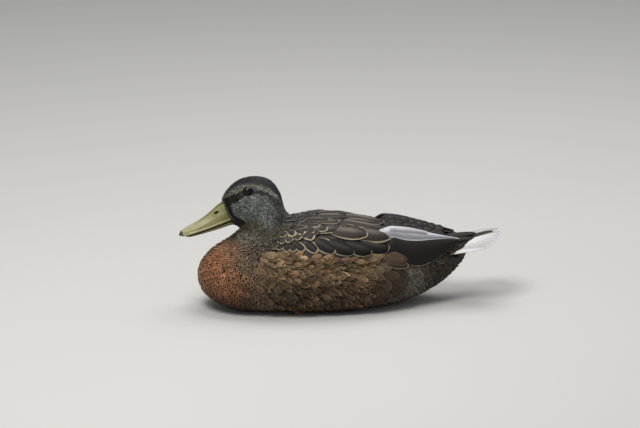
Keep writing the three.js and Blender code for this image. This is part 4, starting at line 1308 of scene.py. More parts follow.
# ---- Tail ----
TAIL = {
    "pairs": 7, "root": (128, 0, 56), "spread": 10, "middle": 76, "outer": 60, "width": 15, "fan": 24,
    "inner_turn": 0.06, "taper": 1.5, "rise": 16, "droop": 1.5, "roll": 18, "stack": 0.8, "short": 66,
}


def turned(points, axis, degrees):
    turn = math.radians(degrees)
    c, s = math.cos(turn), math.sin(turn)
    i, j = {"X": (1, 2), "Y": (2, 0), "Z": (0, 1)}[axis]
    out = points.copy()
    out[:, i] = c * points[:, i] - s * points[:, j]
    out[:, j] = s * points[:, i] + c * points[:, j]
    return out


def quill_feather(length, width, colours, place, rows=26, columns=8, tip=0.5, arch=1.6, dome=0.07):
    """A stiff feather along +X, arched and cambered, then put in its place by a function."""
    def make(u, v):
        half = width / 2 * np.clip(u + 0.02, 0, 1) ** 0.22 * np.clip(1 - u ** 7, 0, 1) ** tip
        rise = dome * width * (1 - v * v) * half / (width / 2) + arch * np.sin(math.pi * u) - 0.5 * arch * u
        flat = np.stack([u * length, v * half, rise], axis=-1)
        return place(flat.reshape(-1, 3)).reshape(u.shape + (3,)) * MM, *colours(u, v)
    return grid_feather(rows, columns, make)


def tail_feather(pair, side):
    share = pair / (TAIL["pairs"] - 1)
    length = between(TAIL["middle"], TAIL["outer"], share ** TAIL["taper"]) if pair else TAIL["short"]

    def place(points):
        points = turned(points, "X", -side * TAIL["roll"] * share)
        points = turned(points, "Y", -TAIL["rise"] + TAIL["droop"] * share)
        points = turned(points, "Z", side * TAIL["fan"] * (share + TAIL["inner_turn"]))
        aside = np.array([0, side * TAIL["spread"] * share, -TAIL["stack"] * pair])
        return points + np.array(TAIL["root"]) + aside

    def colours(u, v):
        white = ease(0.0, 0.17, share)
        ground = between(even(u, "#2b2521"), even(u, hue("tail")), white)
        outer_web = ease(-0.1, 0.5, v * side)
        inner = ease(0.3, -0.3, v * side) * white * between(1.0, 0.25, ease(0.45, 0.9, share))
        ground = ground + (linear("#8d7468") - ground) * (0.85 * inner * ease(1.05, 0.6, u))[..., None]
        ground = ground * between(0.86, 1.05, outer_web)[..., None]
        fringe = between(even(u, "#5b5047"), even(u, "#dddbd9"), white)
        return ground, fringe, even_mark(u, 0, 0.25, 0.16)

    return quill_feather(length, TAIL["width"], colours, place)


# Coverts that lie over and under the roots of the tail: count, first and last turn from the middle,
# root, length, width, rise at the middle and the side (degrees) and colours.
TAIL_COVERTS = [
    {"count": 9, "turn": 15, "root": (120, 8, 67.5), "length": (50, 40), "width": 15, "rise": (5.5, -3),
     "roll": 34, "ground": "#1a1715", "fringe": "#473c31"},
    {"count": 8, "turn": 17, "root": (111, 12, 69.5), "length": (44, 36), "width": 16, "rise": (1, -7),
     "roll": 40, "ground": "#191412", "fringe": "#553e2c"},
    {"count": 9, "turn": 20, "root": (122, 12, 40), "length": (46, 36), "width": 15, "rise": (20, 21),
     "roll": -34, "ground": "#302921", "fringe": "#5f543f"},
    {"count": 8, "turn": 16, "root": (112, 12, 33), "length": (46, 36), "width": 16, "rise": (22, 23),
     "roll": -40, "ground": "#3a332a", "fringe": "#6d6353"},
]
COVERT_DROP = 2.6  # mm that the outermost coverts lie nearer to the tail


def tail_covert(facts, share, rng):
    """One covert; share runs from -1 on the left to 1 on the right."""
    aside = abs(share)
    length = between(*facts["length"], aside) * rng.uniform(0.94, 1.06)
    x, y, z = facts["root"]

    def place(points):
        points = turned(points, "X", -facts["roll"] * share)
        points = turned(points, "Y", -between(*facts["rise"], aside))
        points = turned(points, "Z", facts["turn"] * share + rng.uniform(-2, 2))
        return points + np.array([x, y * share, z - COVERT_DROP * aside * np.sign(facts["roll"])])

    def colours(u, v):
        tone = rng.uniform(0.85, 1.15)
        return even(u, facts["ground"]) * tone, even(u, facts["fringe"]) * tone, even_mark(u, 0.4, 0.2, 0.22)

    return quill_feather(length, facts["width"], colours, place, 16, 6, 0.6, 1.0, 0.1)


def build_tail():
    order = [(pair, side) for pair in reversed(range(TAIL["pairs"])) for side in (LEFT, RIGHT)]
    sheets = [tail_feather(pair, side) for pair, side in order]
    tail = feather_piece("tail_feathers", sheets, 0.5 * MM)
    finish_piece(tail, "tail_white", "tail")
    rng = np.random.default_rng(60)
    sheets = []
    for facts in TAIL_COVERTS:
        shares = np.linspace(-1, 1, facts["count"])
        sheets += [tail_covert(facts, share, rng) for share in sorted(shares, key=lambda s: -abs(s))]
    coverts = feather_piece("tail_coverts", sheets, 0.4 * MM)
    finish_piece(coverts, "dark_brown")


# ---- Bill ----
def fine_copy(name, nodes, voxel, rounds):
    """A smooth close copy of some CAD solids."""
    item = remeshed(name, solid_copy(nodes), voxel)
    mesh = item.data
    place_points(mesh, smoothed(points_of(mesh), edges_of(mesh), rounds))
    mesh.shade_smooth()
    return item


def margin_height(mm):
    """Height of each point over the bill's widest line at its x, in mm."""
    order = np.round(mm[:, 0]).astype(int)
    widest = {}
    for x in np.unique(order):
        ring = mm[order == x]
        widest[x] = ring[np.argmax(np.abs(ring[:, 1])), 2]
    xs = np.array(sorted(widest))
    heights = np.array([widest[x] for x in xs], float)
    kernel = np.ones(7) / 7
    heights = np.convolve(np.pad(heights, 3, mode="edge"), kernel, mode="valid")
    return mm[:, 2] - np.interp(mm[:, 0], xs, heights)


NOSTRIL = np.array([-114.6, 107.6])  # x and z, mm
NOSTRIL_SIZE = (1.9, 0.9)  # half length and half height, mm
NOSTRIL_TILT = math.radians(32.0)
LIP, GROOVE = 0.3, 2.0  # heights over the bill's widest line, mm
BILL_FRONT, BILL_LONG = -96, 58  # mm


def horn_piece(name, node, voxel, rounds, slot, material, colours):
    """A fine copy of one solid of the bill, coloured by a function of its places in mm."""
    item = fine_copy(name, (node,), voxel * MM, rounds)
    store(item.data, "ground", colours(item.data, points_of(item.data) / MM), "FLOAT_COLOR")
    item.data.materials.append(bill_material(material))
    finish_piece(item, slot, node)


def upper_bill_colours(mesh, mm):
    """Olive with a pale lip, a dusky ridge and a nostril painted near black as shade. The lip, its groove and the
    nostril's rim are shaped too.
    """
    x, y, z = mm.T
    over = margin_height(mm)
    side = ease(3, 6, np.abs(y))
    lip, groove = (np.exp(-(over - height) ** 2 / 0.5) for height in (LIP, GROOVE))
    relief = (0.28 * lip - 0.32 * groove) * side * ease(-100, -108, x)
    c, s = math.cos(NOSTRIL_TILT), math.sin(NOSTRIL_TILT)
    from_nostril = (mm[:, [0, 2]] - NOSTRIL) @ np.transpose([(c, s), (-s, c)])
    rim = np.linalg.norm(from_nostril / NOSTRIL_SIZE, axis=1)
    relief += 0.18 * np.exp(-(rim - 2.2) ** 2 / 0.5) * ease(2, 4, np.abs(y))
    place_points(mesh, (mm + normals_of(mesh) * relief[:, None]) * MM)
    along = np.clip((BILL_FRONT - x) / BILL_LONG, 0, 1)
    smudges = mottle(mm / 6.0, 30.0)
    return layered(plain(hue("bill"), len(mm)), [
        ("#66612c", np.clip(ease(0.42, 0.0, along) + 0.5 * smudges, 0, 1) * 0.8),
        ("#8a6a35", ease(0.22, 0.05, along) * ease(7, 2, over) * 0.55),
        ("#a9a27a", ease(0.45, 0.9, along) * 0.85),
        ("#55532f", ease(5.0, 1.0, np.abs(y)) * ease(7, 13, over) * 0.7),
        ("#b3ac80", lip * side * 0.7),
        ("#6a6336", groove * side * 0.45),
        ("#2b2923", ease(-150.6, -152.0, x + 0.3 * (z - 86)) * 0.9),
        # Painted shade: the nostril's opening, which is not cut into the horn, is painted near black.
        ("#0e0c08", ease(1.75, 1.35, rim) * ease(1.0, 3, np.abs(y))),
    ])


def lower_bill_colours(mesh, mm):
    return layered(plain("#6e673e", len(mm)), [
        ("#7d7548", ease(-112, -140, mm[:, 0]) * 0.7), ("#7a4f2a", ease(-104, -96, mm[:, 0]) * 0.6),
    ])


def nail_colours(mesh, mm):
    return paint(plain("#1b1916", len(mm)), "#847e58", ease(-151.4, -149.8, mm[:, 0]) * 0.95)


# Piece, node, voxel (mm), smoothing rounds, slot, material and colours of each part of the bill.
BILL = (
    ("bill_upper_horn", "bill_upper", 0.5, 5, "bill_olive", "horn of the bill", upper_bill_colours),
    ("bill_lower_horn", "bill_lower", 0.5, 4, "bill_olive", "horn of the lower bill", lower_bill_colours),
    ("bill_nail_horn", "bill_nail", 0.4, 3, "nail_black", "horn of the nail", nail_colours),
)


def bill_material(name):
    """Bill: a leathery horn sheath, satin, with fine pores and faint smudges."""
    material, tree = fresh_material(name)
    place = put(tree, PLACE).outputs["Object"]
    pores = put(tree, NOISE, {"Vector": place, "Scale": 1400.0, "Detail": 2.0})
    smudge = put(tree, NOISE, {"Vector": place, "Scale": 140.0, "Detail": 3.0, "Roughness": 0.6})
    shade = put(tree, RANGE, (smudge, 0.3, 0.75, 0.8, 1.12))
    tint = put(tree, VECTOR, {
        0: put(tree, FIELD, attribute_name="ground"), "Scale": shade,
    }, operation="SCALE")
    rough = put(tree, RANGE, (smudge, 0.0, 1.0, 0.3, 0.52))
    surface = {"Base Color": tint, "Roughness": rough, "Specular IOR Level": 0.45}
    end_shader(tree, surface, pores, 0.15, 0.1 * MM)
    return material


# ---- Eyes ----
EYE_SEGMENTS, EYE_RINGS = 48, 32
CORNEA = {"bulge": 0.05, "from": (3.2, 5.6)}  # share of the radius, and where it grows along the axis, mm
IRIS, RIM_OF_IRIS = (2.7, 3.0), (3.8, 4.4)  # radii over which the pupil turns to iris and the iris darkens
# The lids' roll: its corners, how far it is drawn out at the eye's ends, and its sizes in mm.
LID = {
    "around": 12, "rows": 72, "pinch": 0.10, "thick": 0.34, "upper": 0.08, "deep": 0.32, "out": 0.2,
    "clear": 0.15,
}


def recalculated(name, shape):
    """A smooth mesh of a closed shape, whose faces all point outwards."""
    bmesh.ops.recalc_face_normals(shape, faces=shape.faces)
    mesh = bpy.data.meshes.new(name)
    shape.to_mesh(mesh)
    shape.free()
    mesh.shade_smooth()
    return mesh


def build_eyeball(side_name):
    side = SIDES[side_name]
    ball = bmesh.new()
    bmesh.ops.create_uvsphere(ball, u_segments=EYE_SEGMENTS, v_segments=EYE_RINGS, radius=EYE_RADIUS * MM)
    for vertex in ball.verts:
        out = vertex.co.z
        bulge = 1 + CORNEA["bulge"] * float(ease(*np.multiply(CORNEA["from"], MM), out))
        vertex.co = Vector((vertex.co.x, side * out * bulge, side * -vertex.co.y))
        vertex.co += Vector((EYE[0], side * EYE[1], EYE[2])) * MM
    mesh = recalculated("eyeball_" + side_name, ball)
    mm = points_of(mesh) / MM
    off_axis = np.linalg.norm(mm[:, [0, 2]] - EYE[[0, 2]], axis=1)
    store(mesh, "ground", layered(plain("#030303", len(mm)), [
        ("#120a06", ease(*IRIS, off_axis)), ("#060404", ease(*RIM_OF_IRIS, off_axis)),
    ]), "FLOAT_COLOR")
    mesh.materials.append(eye_material())
    finish_piece(new_object("eyeball_" + side_name, mesh), "eye_brown", "eye_" + side_name)


def build_eyelid(side_name):
    """A thin roll of skin round the opening, thicker above, which follows the eyeball."""
    side = SIDES[side_name]
    ring = bmesh.new()
    loops = []
    for turn in np.linspace(0, 2 * math.pi, LID["rows"], endpoint=False):
        thick = LID["thick"] + LID["upper"] * (0.5 + 0.5 * math.sin(turn))
        rim_x = EYE_OPENING[0] * (1 + LID["pinch"] * math.cos(turn) ** 8) * math.cos(turn)
        rim_z = EYE_OPENING[1] * math.sin(turn)
        loop = []
        for roll in np.linspace(0, 2 * math.pi, LID["around"], endpoint=False):
            grow = 1 + (thick * math.cos(roll) + LID["out"]) / math.hypot(rim_x, rim_z)
            x, z = rim_x * grow, rim_z * grow
            on_ball = math.sqrt(max(EYE_RADIUS ** 2 - min(x * x + z * z, 30.0), 0.6))
            y = EYE[1] + on_ball + LID["clear"] + LID["deep"] * math.sin(roll)
            loop.append(ring.verts.new(Vector((EYE[0] + x, side * y, EYE[2] + z)) * MM))
        loops.append(loop)
    join_loops(ring, loops + loops[:1])
    mesh = recalculated("eyelid_" + side_name, ring)
    mesh.materials.append(lid_material(side_name))
    finish_piece(new_object("eyelid_" + side_name, mesh), "cap_brown")


def join_loops(mesh, loops):
    """Faces between each closed loop of corners and the next."""
    for near, far in zip(loops[:-1], loops[1:]):
        for j in range(len(near)):
            k = (j + 1) % len(near)
            mesh.faces.new((near[j], near[k], far[k], far[j]))


def lid_material(side_name):
    """Eyelid: bare dark skin, dull, finely grained."""
    name = "eyelid skin " + side_name
    return grained(name, "#171513", 300.0, (0.8, 1.2), {"Roughness": 0.5}, 0.2, 0.2 * MM)


def eye_material():
    """Eye: wet cornea over a very dark brown iris, glossy, with a faint grain."""
    return grained("wet eye", "ground", 900.0, (0.6, 1.4), {"Roughness": 0.1, "Specular IOR Level": 0.28})


# ---- Legs and feet ----
HEEL = np.array([12.0, 27.0])  # where the toes meet, from above, mm
TOES = [(41, -20), (50, -1), (46, 17)]  # length (mm) and turn outwards (degrees)
KNUCKLE = 0.25  # mm that the toes' joints stand out
# Claws, in mm: where each starts and ends past its toe's end, its radius and height at the root, the height
# of its point, and how far it arches and narrows.
CLAW = {
    "from": -1.5, "to": 7.2, "radius": 1.75, "high": 1.78, "point": 0.75, "arch": 0.25, "taper": 0.97,
    "power": 0.75, "floor": 0.15, "rings": 8, "around": 12,
}


def build_foot(side_name, material):
    """Fine copies of the leg and the foot, with the toes' joints standing out and the web darker between them."""
    side = SIDES[side_name]
    leg = fine_copy("leg_skin_" + side_name, ("leg_" + side_name,), 0.5 * MM, 4)
    store(leg.data, "ground", plain(hue("legs"), len(leg.data.vertices)), "FLOAT_COLOR")
    foot = fine_copy("foot_skin_" + side_name, ("foot_" + side_name,), 0.5 * MM, 3)
    mm = points_of(foot.data) / MM
    spot = np.stack([HEEL[0] - mm[:, 0], side * mm[:, 1] - HEEL[1]], axis=1)
    knuckles, on_toe = np.zeros(len(mm)), np.zeros(len(mm))
    for length, turn in TOES:
        way = np.array([math.cos(math.radians(turn)), math.sin(math.radians(turn))])
        along = spot @ way
        aside = np.abs(spot @ np.array([-way[1], way[0]]))
        near = ease(3.2, 1.6, aside) * ease(0, 4, along)
        on_toe = np.maximum(on_toe, near)
        knuckles = np.maximum(knuckles, near * np.sin(along * 2 * math.pi / (length / 3)) ** 2)
    relief = KNUCKLE * knuckles * ease(0.6, 1.6, mm[:, 2])
    place_points(foot.data, (mm + normals_of(foot.data) * relief[:, None]) * MM)
    web = paint(plain(hue("legs"), len(mm)), "#7a4424", 1 - on_toe)
    store(foot.data, "ground", web, "FLOAT_COLOR")
    for item, node in ((leg, "leg_"), (foot, "foot_")):
        item.data.materials.append(material)
        finish_piece(item, "leg_orange", node + side_name)


def build_claws(side_name, material):
    """A tapered, slightly arched horn on the end of each toe."""
    side = SIDES[side_name]
    horns = bmesh.new()
    up = Vector((0.0, 0.0, 1.0))
    for length, turn in TOES:
        bearing = math.radians(turn)
        way = Vector((-math.cos(bearing), side * math.sin(bearing), 0.0))
        across = way.cross(up)
        loops = []
        for t in np.linspace(0, 1, CLAW["rings"]):
            height = between(CLAW["high"], CLAW["point"], t) + CLAW["arch"] * math.sin(math.pi * t)
            along = length + between(CLAW["from"], CLAW["to"], t)
            middle = Vector((HEEL[0], side * HEEL[1], height)) + way * along
            radius = CLAW["radius"] * (1 - CLAW["taper"] * t) ** CLAW["power"]
            loop = []
            for roll in np.linspace(0, 2 * math.pi, CLAW["around"], endpoint=False):
                corner = middle + (across * math.cos(roll) + up * math.sin(roll)) * radius
                corner.z = max(corner.z, CLAW["floor"])
                loop.append(horns.verts.new(corner * MM))
            loops.append(loop)
        join_loops(horns, loops)
        horns.faces.new(loops[0])
        horns.faces.new(loops[-1])
    mesh = recalculated("claws_" + side_name, horns)
    mesh.materials.append(material)
    finish_piece(new_object("claws_" + side_name, mesh), "nail_black")


def claw_material():
    """Claws: dark keratin horn, satin, with a faint grain."""
    return grained("claw horn", "#241c17", 300.0, (0.8, 1.2), {"Roughness": 0.4}, 0.2, 0.2 * MM)


def leg_material():
    """Legs and feet: leathery skin in small scales, satin."""
    material, tree = fresh_material("scaly skin")
    place = put(tree, PLACE).outputs["Object"]
    scales = put(tree, "ShaderNodeTexVoronoi", {"Vector": place, "Scale": 900.0}, feature="DISTANCE_TO_EDGE")
    smudge = put(tree, NOISE, {"Vector": place, "Scale": 160.0, "Detail": 3.0})
    crease = put(tree, RANGE, (scales, 0.0, 0.12, 0.55, 1.0))
    dirt = put(tree, RANGE, (smudge, 0.3, 0.7, 0.75, 1.1))
    shade_of = put(tree, MATH, (crease, dirt), operation="MULTIPLY")
    tint = put(tree, VECTOR, {
        0: put(tree, FIELD, attribute_name="ground"), "Scale": shade_of,
    }, operation="SCALE")
    end_shader(tree, {"Base Color": tint, "Roughness": 0.45}, crease, 0.5, 0.2 * MM)
    return material


# ---- Materials ----
def fresh_material(name):
    material = bpy.data.materials.new(name)
    material.use_nodes = True
    tree = material.node_tree
    tree.nodes.clear()
    return material, tree


def end_shader(tree, values, height=None, strength=0.0, distance=0.0):
    """The principled surface and the material's output, with a bump where a height is given."""
    if height is not None:
        bump = put(tree, "ShaderNodeBump", {"Strength": strength, "Distance": distance, "Height": height})
        values = {**values, "Normal": bump}
    surface = put(tree, "ShaderNodeBsdfPrincipled", values)
    put(tree, "ShaderNodeOutputMaterial", {"Surface": surface})


def grained(name, colour, scale, shades, surface, strength=0.0, distance=0.0, detail=3.0):
    """A material whose colour, a hex code or the mesh's own, is shaded and may be bumped by a fine grain."""
    if name in bpy.data.materials:
        return bpy.data.materials[name]
    material, tree = fresh_material(name)
    place = put(tree, PLACE).outputs["Object"]
    grain = put(tree, NOISE, {"Vector": place, "Scale": scale, "Detail": detail})
    shade = put(tree, RANGE, (grain, 0.0, 1.0, *shades))
    own = linear(colour) if colour.startswith("#") else put(tree, FIELD, attribute_name=colour)
    tint = put(tree, VECTOR, {0: own, "Scale": shade}, operation="SCALE")
    end_shader(tree, {"Base Color": tint, **surface}, grain if strength else None, strength, distance)
    return material


def rgba(code):
    return (*linear(code), 1.0)


BAR_WAVES = 78.0  # radians along a vane, so that a flank feather has a bar about every 2 mm


def feather_material():
    """Contour feathers: keratin barbs lying side by side, matt, with a soft pale fringe, a dull sheen and a
    painted sheen along the shaft.
    """
    name = "feather vane"
    if name in bpy.data.materials:
        return bpy.data.materials[name]
    material, tree = fresh_material(name)
    along, across, rim = (
        put(tree, FIELD, attribute_name="vane_" + way).outputs["Fac"] for way in ("u", "v", "rim"))
    ground, fringe, mark = (put(tree, FIELD, attribute_name=look) for look in ("ground", "fringe", "mark"))
    spot, shaft, width = put(tree, "ShaderNodeSeparateXYZ", (mark.outputs["Vector"],)).outputs
    wide = put(tree, MATH, (across,), operation="ABSOLUTE")
    # Barbs run from the shaft outwards and back.
    forward = put(tree, MATH, (along, 26.0), operation="MULTIPLY")
    slant = put(tree, MATH, (wide, -9.0, forward), operation="MULTIPLY_ADD")
    outward = put(tree, MATH, (across, 1.5), operation="MULTIPLY")
    barbs = put(tree, "ShaderNodeCombineXYZ", (slant, outward, ground.outputs["Fac"]))
    grain = put(tree, NOISE, {"Vector": barbs, "Scale": 1.0, "Detail": 3.0, "Roughness": 0.6})
    # The fringe, ragged along its inner side and faint at the root.
    ragged = put(tree, MATH, (grain, 0.16, -0.08), operation="MULTIPLY_ADD")
    edge = put(tree, MATH, (rim, ragged), operation="ADD")
    inner = put(tree, MATH, (width, 0.4), operation="MULTIPLY")
    outer = put(tree, MATH, (width, 1.15), operation="MULTIPLY")
    share = put(tree, RANGE, (edge, inner, outer, 1.0, 0.0), **SMOOTH)
    ahead = put(tree, RANGE, (along, 0.15, 0.5, 0.35, 1.0))
    share = put(tree, MATH, (share, ahead), operation="MULTIPLY")
    # A painted sheen, a pale band along the shaft, and a darker tip inside the fringe.
    painted_sheen = put(tree, RANGE, (wide, 0.5, 0.0), **SMOOTH)
    for fading in (put(tree, RANGE, (along, 0.92, 0.6)), shaft):
        painted_sheen = put(tree, MATH, (painted_sheen, fading), operation="MULTIPLY")
    # Painted sheen: the band along the shaft is mixed towards this pale colour.
    inside = put(tree, MIX, {0: painted_sheen, 6: ground, 7: rgba("#857a6f")}, data_type="RGBA")
    darkest = put(tree, MATH, (shaft, -1.0, 1.0), operation="MULTIPLY_ADD")
    deep = put(tree, RANGE, (along, 0.6, 0.9, 1.0, darkest))
    inside = put(tree, VECTOR, {0: inside.outputs[2], "Scale": deep}, operation="SCALE")
    colour = put(tree, MIX, {0: share, 6: inside, 7: fringe}, data_type="RGBA")
    # The dark spot near the tip.
    starts, ends, middle = (
        put(tree, RANGE, turn, **SMOOTH)
        for turn in ((along, 0.52, 0.64), (along, 0.9, 0.8), (wide, 0.62, 0.38)))
    patch = put(tree, MATH, (starts, ends), operation="MULTIPLY")
    patch = put(tree, MATH, (patch, middle), operation="MULTIPLY")
    patch = put(tree, MATH, (patch, spot), operation="MULTIPLY", use_clamp=True)
    # Fine wavy bars, where the spot's strength is given below nothing.
    bars = put(tree, MATH, (spot, -0.7), operation="MULTIPLY", use_clamp=True)
    unrest = put(tree, MATH, (grain, 9.0), operation="MULTIPLY")
    phase = put(tree, MATH, (along, BAR_WAVES, unrest), operation="MULTIPLY_ADD")
    wave = put(tree, MATH, (phase,), operation="SINE")
    wave = put(tree, RANGE, (wave, -0.6, 0.6))
    bars = put(tree, MATH, (bars, wave), operation="MULTIPLY")
    quill = put(tree, RANGE, (wide, 0.05, 0.015))
    quill = put(tree, MATH, (quill, shaft), operation="MULTIPLY")
    for weight, code in ((patch, "#1e1511"), (bars, "#2b221b"), (quill, "#77695a")):
        colour = put(tree, MIX, {0: weight, 6: colour.outputs[2], 7: rgba(code)}, data_type="RGBA")
    shade = put(tree, RANGE, (grain, 0.25, 0.75, 0.78, 1.2))
    tint = put(tree, VECTOR, {0: colour.outputs[2], "Scale": shade}, operation="SCALE")
    surface = {"Base Color": tint, "Roughness": 0.6, "Specular IOR Level": 0.22}
    end_shader(tree, surface, grain, 0.35, 0.2 * MM)
    return material


def skin_material():
    """Skin under the coat, seen only between feathers: down in the coat's own colours, darkened as painted shade,
    matt.
    """
    return grained("downy skin", "ground", 600.0, (0.6, 1.3), {"Roughness": 0.85}, 0.4, 0.4 * MM)


def floor_material():
    """Studio floor: matt pale paper, almost even."""
    surface = {"Roughness": 0.95, "Specular IOR Level": 0.1}
    return grained("matt paper", "#c4c2bd", 3.0, (0.98, 1.02), surface, detail=2.0)


# ---- Settings ----
def depth(name, description, default):
    """A depth of the coat."""
    return bpy.props.FloatProperty(
        name=name, description=description, default=default, min=0.0, unit="LENGTH", subtype="DISTANCE")


class DrakePlumage(bpy.types.PropertyGroup):
    """Depth and fullness of the coat"""
    head_depth: depth("Head depth", "How far the skin lies under the face's coat", 1.1 * MM)
    neck_depth: depth("Neck depth", "How far the skin lies under the neck's coat", 2.0 * MM)
    body_depth: depth("Body depth", "How far the skin lies under the body's coat", 3.0 * MM)
    wing_depth: depth("Wing depth", "How far the skin lies under the wing's feathers", 3.6 * MM)
    fullness: bpy.props.FloatProperty(
        name="Fullness", description="Crowds the small feathers closer when above 1",
        default=1.0, min=0.5, max=1.5, subtype="FACTOR")


def shade(name, description, code):
    """A colour property of the palette."""
    return bpy.props.FloatVectorProperty(
        name=name, description=description, default=tuple(linear(code)), min=0.0, max=1.0, subtype="COLOR")


class DrakePalette(bpy.types.PropertyGroup):
    """Main colours of the drake"""
    cap: shade("Cap", "Crown of the head", "#1f1c20")
    cheek: shade("Cheek", "Ground of the head's tufts", "#3d403d")
    cheek_edge: shade("Cheek edges", "Edges of the head's tufts", "#7f847e")
    breast: shade("Breast", "Ground of the breast feathers", "#8c5c3e")
    breast_edge: shade("Breast edges", "Edges of the breast feathers", "#a5754f")
    back: shade("Back", "Ground of the mantle's feathers", "#2d2927")
    back_edge: shade("Back edges", "Edges of the mantle's feathers", "#716860")
    wing: shade("Wing", "Ground of the lowest row of the wing", "#14110f")
    wing_edge: shade("Wing edges", "Pale edges of the wing feathers", "#a3947a")
    tawny: shade("Flank", "Ground of the flank feathers", "#6c573f")
    tawny_edge: shade("Flank edges", "Edges of the flank feathers", "#8c7352")
    tail: shade("Tail", "White of the tail feathers", "#cfccca")
    bill: shade("Bill", "Horn of the bill", "#8f8a5a")
    legs: shade("Legs", "Scaly skin of legs and feet", "#b4622a")


class DRAKE_OT_skin(bpy.types.Operator):
    """One skin for the whole body"""
    bl_idname = "drake.skin"
    bl_label = "Skin"

    def execute(self, context):
        skin = build_skin()
        skin.data.materials.clear()
        skin.data.materials.append(skin_material())
        finish_piece(skin, "chestnut", *FLESH)
        return {"FINISHED"}


COATS = {
    "head": (("head",), "tuft", "cap_brown", unwrap_head, 0.12),
    "neck": (("neck",), "scale", "grey_brown", unwrap_head, 0.14),
    "breast": (("breast", "shoulder"), "scale", "chestnut", unwrap_body, 0.2),
    "back": (("mantle", "rump"), "plume", "dark_brown", unwrap_body, 0.12),
    "belly": (("belly", "vent"), "plume", "chestnut", unwrap_body, 0.16),
    "flank": (("flank",), "plume", "tawny", unwrap_body, 0.34),
    "lobe": (("lobe",), "smooth", "tawny", unwrap_body, 0.1),
}


class DRAKE_OT_coat(bpy.types.Operator):
    """The small feathers of head, neck, breast, back, belly and flanks"""
    bl_idname = "drake.coat"
    bl_label = "Small feathers"

    def execute(self, context):
        roots = contour_roots()
        for name, (tracts, pattern, slot, unwrap, stray) in COATS.items():
            mask = np.isin(roots["tract"], tracts)
            coat = lay_vanes("coat_" + name, chosen(roots, mask), pattern, unwrap, stray)
            finish_piece(coat, slot)
        return {"FINISHED"}


class DRAKE_OT_wings(bpy.types.Operator):
    """The rows of scapulars and coverts on both folded wings"""
    bl_idname = "drake.wings"
    bl_label = "Wing feathers"

    def execute(self, context):
        for side in SIDES:
            build_wing(side)
        return {"FINISHED"}


class DRAKE_OT_long_feathers(bpy.types.Operator):
    """The tertials and the tips of the primaries"""
    bl_idname = "drake.long_feathers"
    bl_label = "Tertials and primaries"

    def execute(self, context):
        build_long_feathers("tertials", TERTIAL_FEATHERS, "tertial_feathers", "tertial_grey")
        build_saddle()
        build_long_feathers("primaries", PRIMARY_FEATHERS, "primary_feathers", "dark_brown")
        return {"FINISHED"}


class DRAKE_OT_tail(bpy.types.Operator):
    """The tail feathers and the coverts at their roots"""
    bl_idname = "drake.tail"
    bl_label = "Tail"

    def execute(self, context):
        build_tail()
        return {"FINISHED"}


class DRAKE_OT_bill(bpy.types.Operator):
    """Both halves of the bill and its nail"""
    bl_idname = "drake.bill"
    bl_label = "Bill"

    def execute(self, context):
        for facts in BILL:
            horn_piece(*facts)
        return {"FINISHED"}


class DRAKE_OT_eyes(bpy.types.Operator):
    """Eyeballs and lids"""
    bl_idname = "drake.eyes"
    bl_label = "Eyes"

    def execute(self, context):
        for side in SIDES:
            build_eyeball(side)
            build_eyelid(side)
        return {"FINISHED"}


class DRAKE_OT_feet(bpy.types.Operator):
    """Legs, webbed feet and claws"""
    bl_idname = "drake.feet"
    bl_label = "Feet"

    def execute(self, context):
        skin, horn = leg_material(), claw_material()
        for side in SIDES:
            build_foot(side, skin)
            build_claws(side, horn)
        return {"FINISHED"}


# ---- Stage ----
VIEW = {"azimuth": -8.0, "elevation": 15.0, "distance": 5.5, "width": 0.6976, "height": 0.1004}
SENSOR = 36.0  # mm
SEES_TO = 100.0
FLOOR_REACH = 6.0
SKY, SKY_STRENGTH = (0.86, 0.9, 0.95, 1), 0.36  # an overcast sky's faint blue
# Place, size and power in watts of each lamp.
LAMPS = {"key": ((-0.55, -0.75, 1.5), 0.7, 19.0), "top": ((0.25, 0.45, 1.6), 1.2, 17.0)}
LIT = Vector((0, 0, 0.05))  # what the lamps point at


def aimed(name, data, place, way):
    """A lamp or a camera in its place, looking along a way."""
    item = bpy.data.objects.new(name, data)
    item.location = place
    item.rotation_mode = "QUATERNION"
    item.rotation_quaternion = way.to_track_quat("-Z", "Y")
    bpy.context.scene.collection.objects.link(item)
    return item


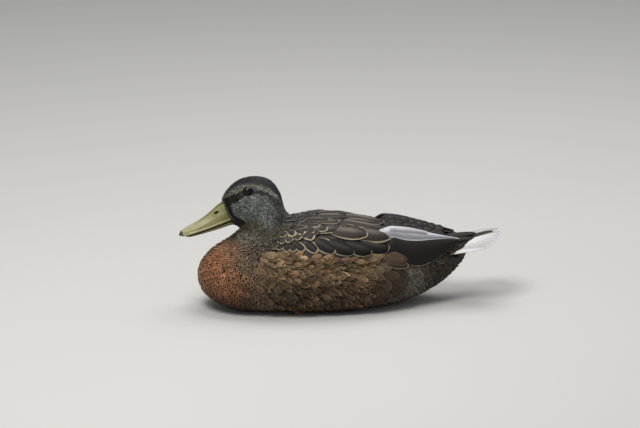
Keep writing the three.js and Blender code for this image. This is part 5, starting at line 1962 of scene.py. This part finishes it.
class DRAKE_OT_stage(bpy.types.Operator):
    """Pale floor, soft light and the camera"""
    bl_idname = "drake.stage"
    bl_label = "Stage"

    def execute(self, context):
        mesh = bpy.data.meshes.new("floor")
        corners = [(x * FLOOR_REACH, y * FLOOR_REACH, 0) for x, y in ((-1, -1), (1, -1), (1, 1), (-1, 1))]
        mesh.from_pydata(corners, [], [(0, 1, 2, 3)])
        mesh.materials.append(floor_material())
        new_object("floor", mesh)
        world = bpy.data.worlds.new("studio")
        world.use_nodes = True
        background = world.node_tree.nodes["Background"].inputs
        background["Color"].default_value = SKY
        background["Strength"].default_value = SKY_STRENGTH
        context.scene.world = world
        context.scene.view_settings.view_transform = "Standard"
        for name, (place, size, power) in LAMPS.items():
            lamp = bpy.data.lights.new(name, "AREA")
            lamp.size = size
            lamp.energy = power
            aimed(name, lamp, place, LIT - Vector(place))
        turn, rise = math.radians(VIEW["azimuth"]), math.radians(VIEW["elevation"])
        back = Vector((math.sin(turn) * math.cos(rise), -math.cos(turn) * math.cos(rise), math.sin(rise)))
        lens = bpy.data.cameras.new("camera")
        lens.sensor_width = SENSOR
        lens.lens = SENSOR * VIEW["distance"] / VIEW["width"]
        lens.clip_end = SEES_TO
        middle = Vector((0, 0, VIEW["height"]))
        context.scene.camera = aimed("camera", lens, middle + back * VIEW["distance"], -back)
        return {"FINISHED"}


OPERATORS = (
    DRAKE_OT_skin, DRAKE_OT_coat, DRAKE_OT_wings, DRAKE_OT_long_feathers, DRAKE_OT_tail, DRAKE_OT_bill,
    DRAKE_OT_eyes, DRAKE_OT_feet, DRAKE_OT_stage,
)


class DRAKE_PT_panel(bpy.types.Panel):
    bl_idname = "DRAKE_PT_panel"
    bl_label = "Sitting drake"
    bl_space_type = "VIEW_3D"
    bl_region_type = "UI"
    bl_category = "Drake"

    def draw(self, context):
        scene = context.scene
        for kind, group in ((DrakePlumage, scene.drake_plumage), (DrakePalette, scene.drake_palette)):
            for name in kind.__annotations__:
                self.layout.prop(group, name)
        for operator in OPERATORS:
            self.layout.operator(operator.bl_idname)


CLASSES = (DrakePlumage, DrakePalette, *OPERATORS, DRAKE_PT_panel)


def register():
    for item in CLASSES:
        bpy.utils.register_class(item)
    bpy.types.Scene.drake_plumage = bpy.props.PointerProperty(type=DrakePlumage)
    bpy.types.Scene.drake_palette = bpy.props.PointerProperty(type=DrakePalette)


def unregister():
    del bpy.types.Scene.drake_palette
    del bpy.types.Scene.drake_plumage
    for item in reversed(CLASSES):
        bpy.utils.unregister_class(item)


def main():
    register()
    for operator in OPERATORS:
        group, action = operator.bl_idname.split(".")
        getattr(getattr(bpy.ops, group), action)()


if __name__ == "__main__":
    main()
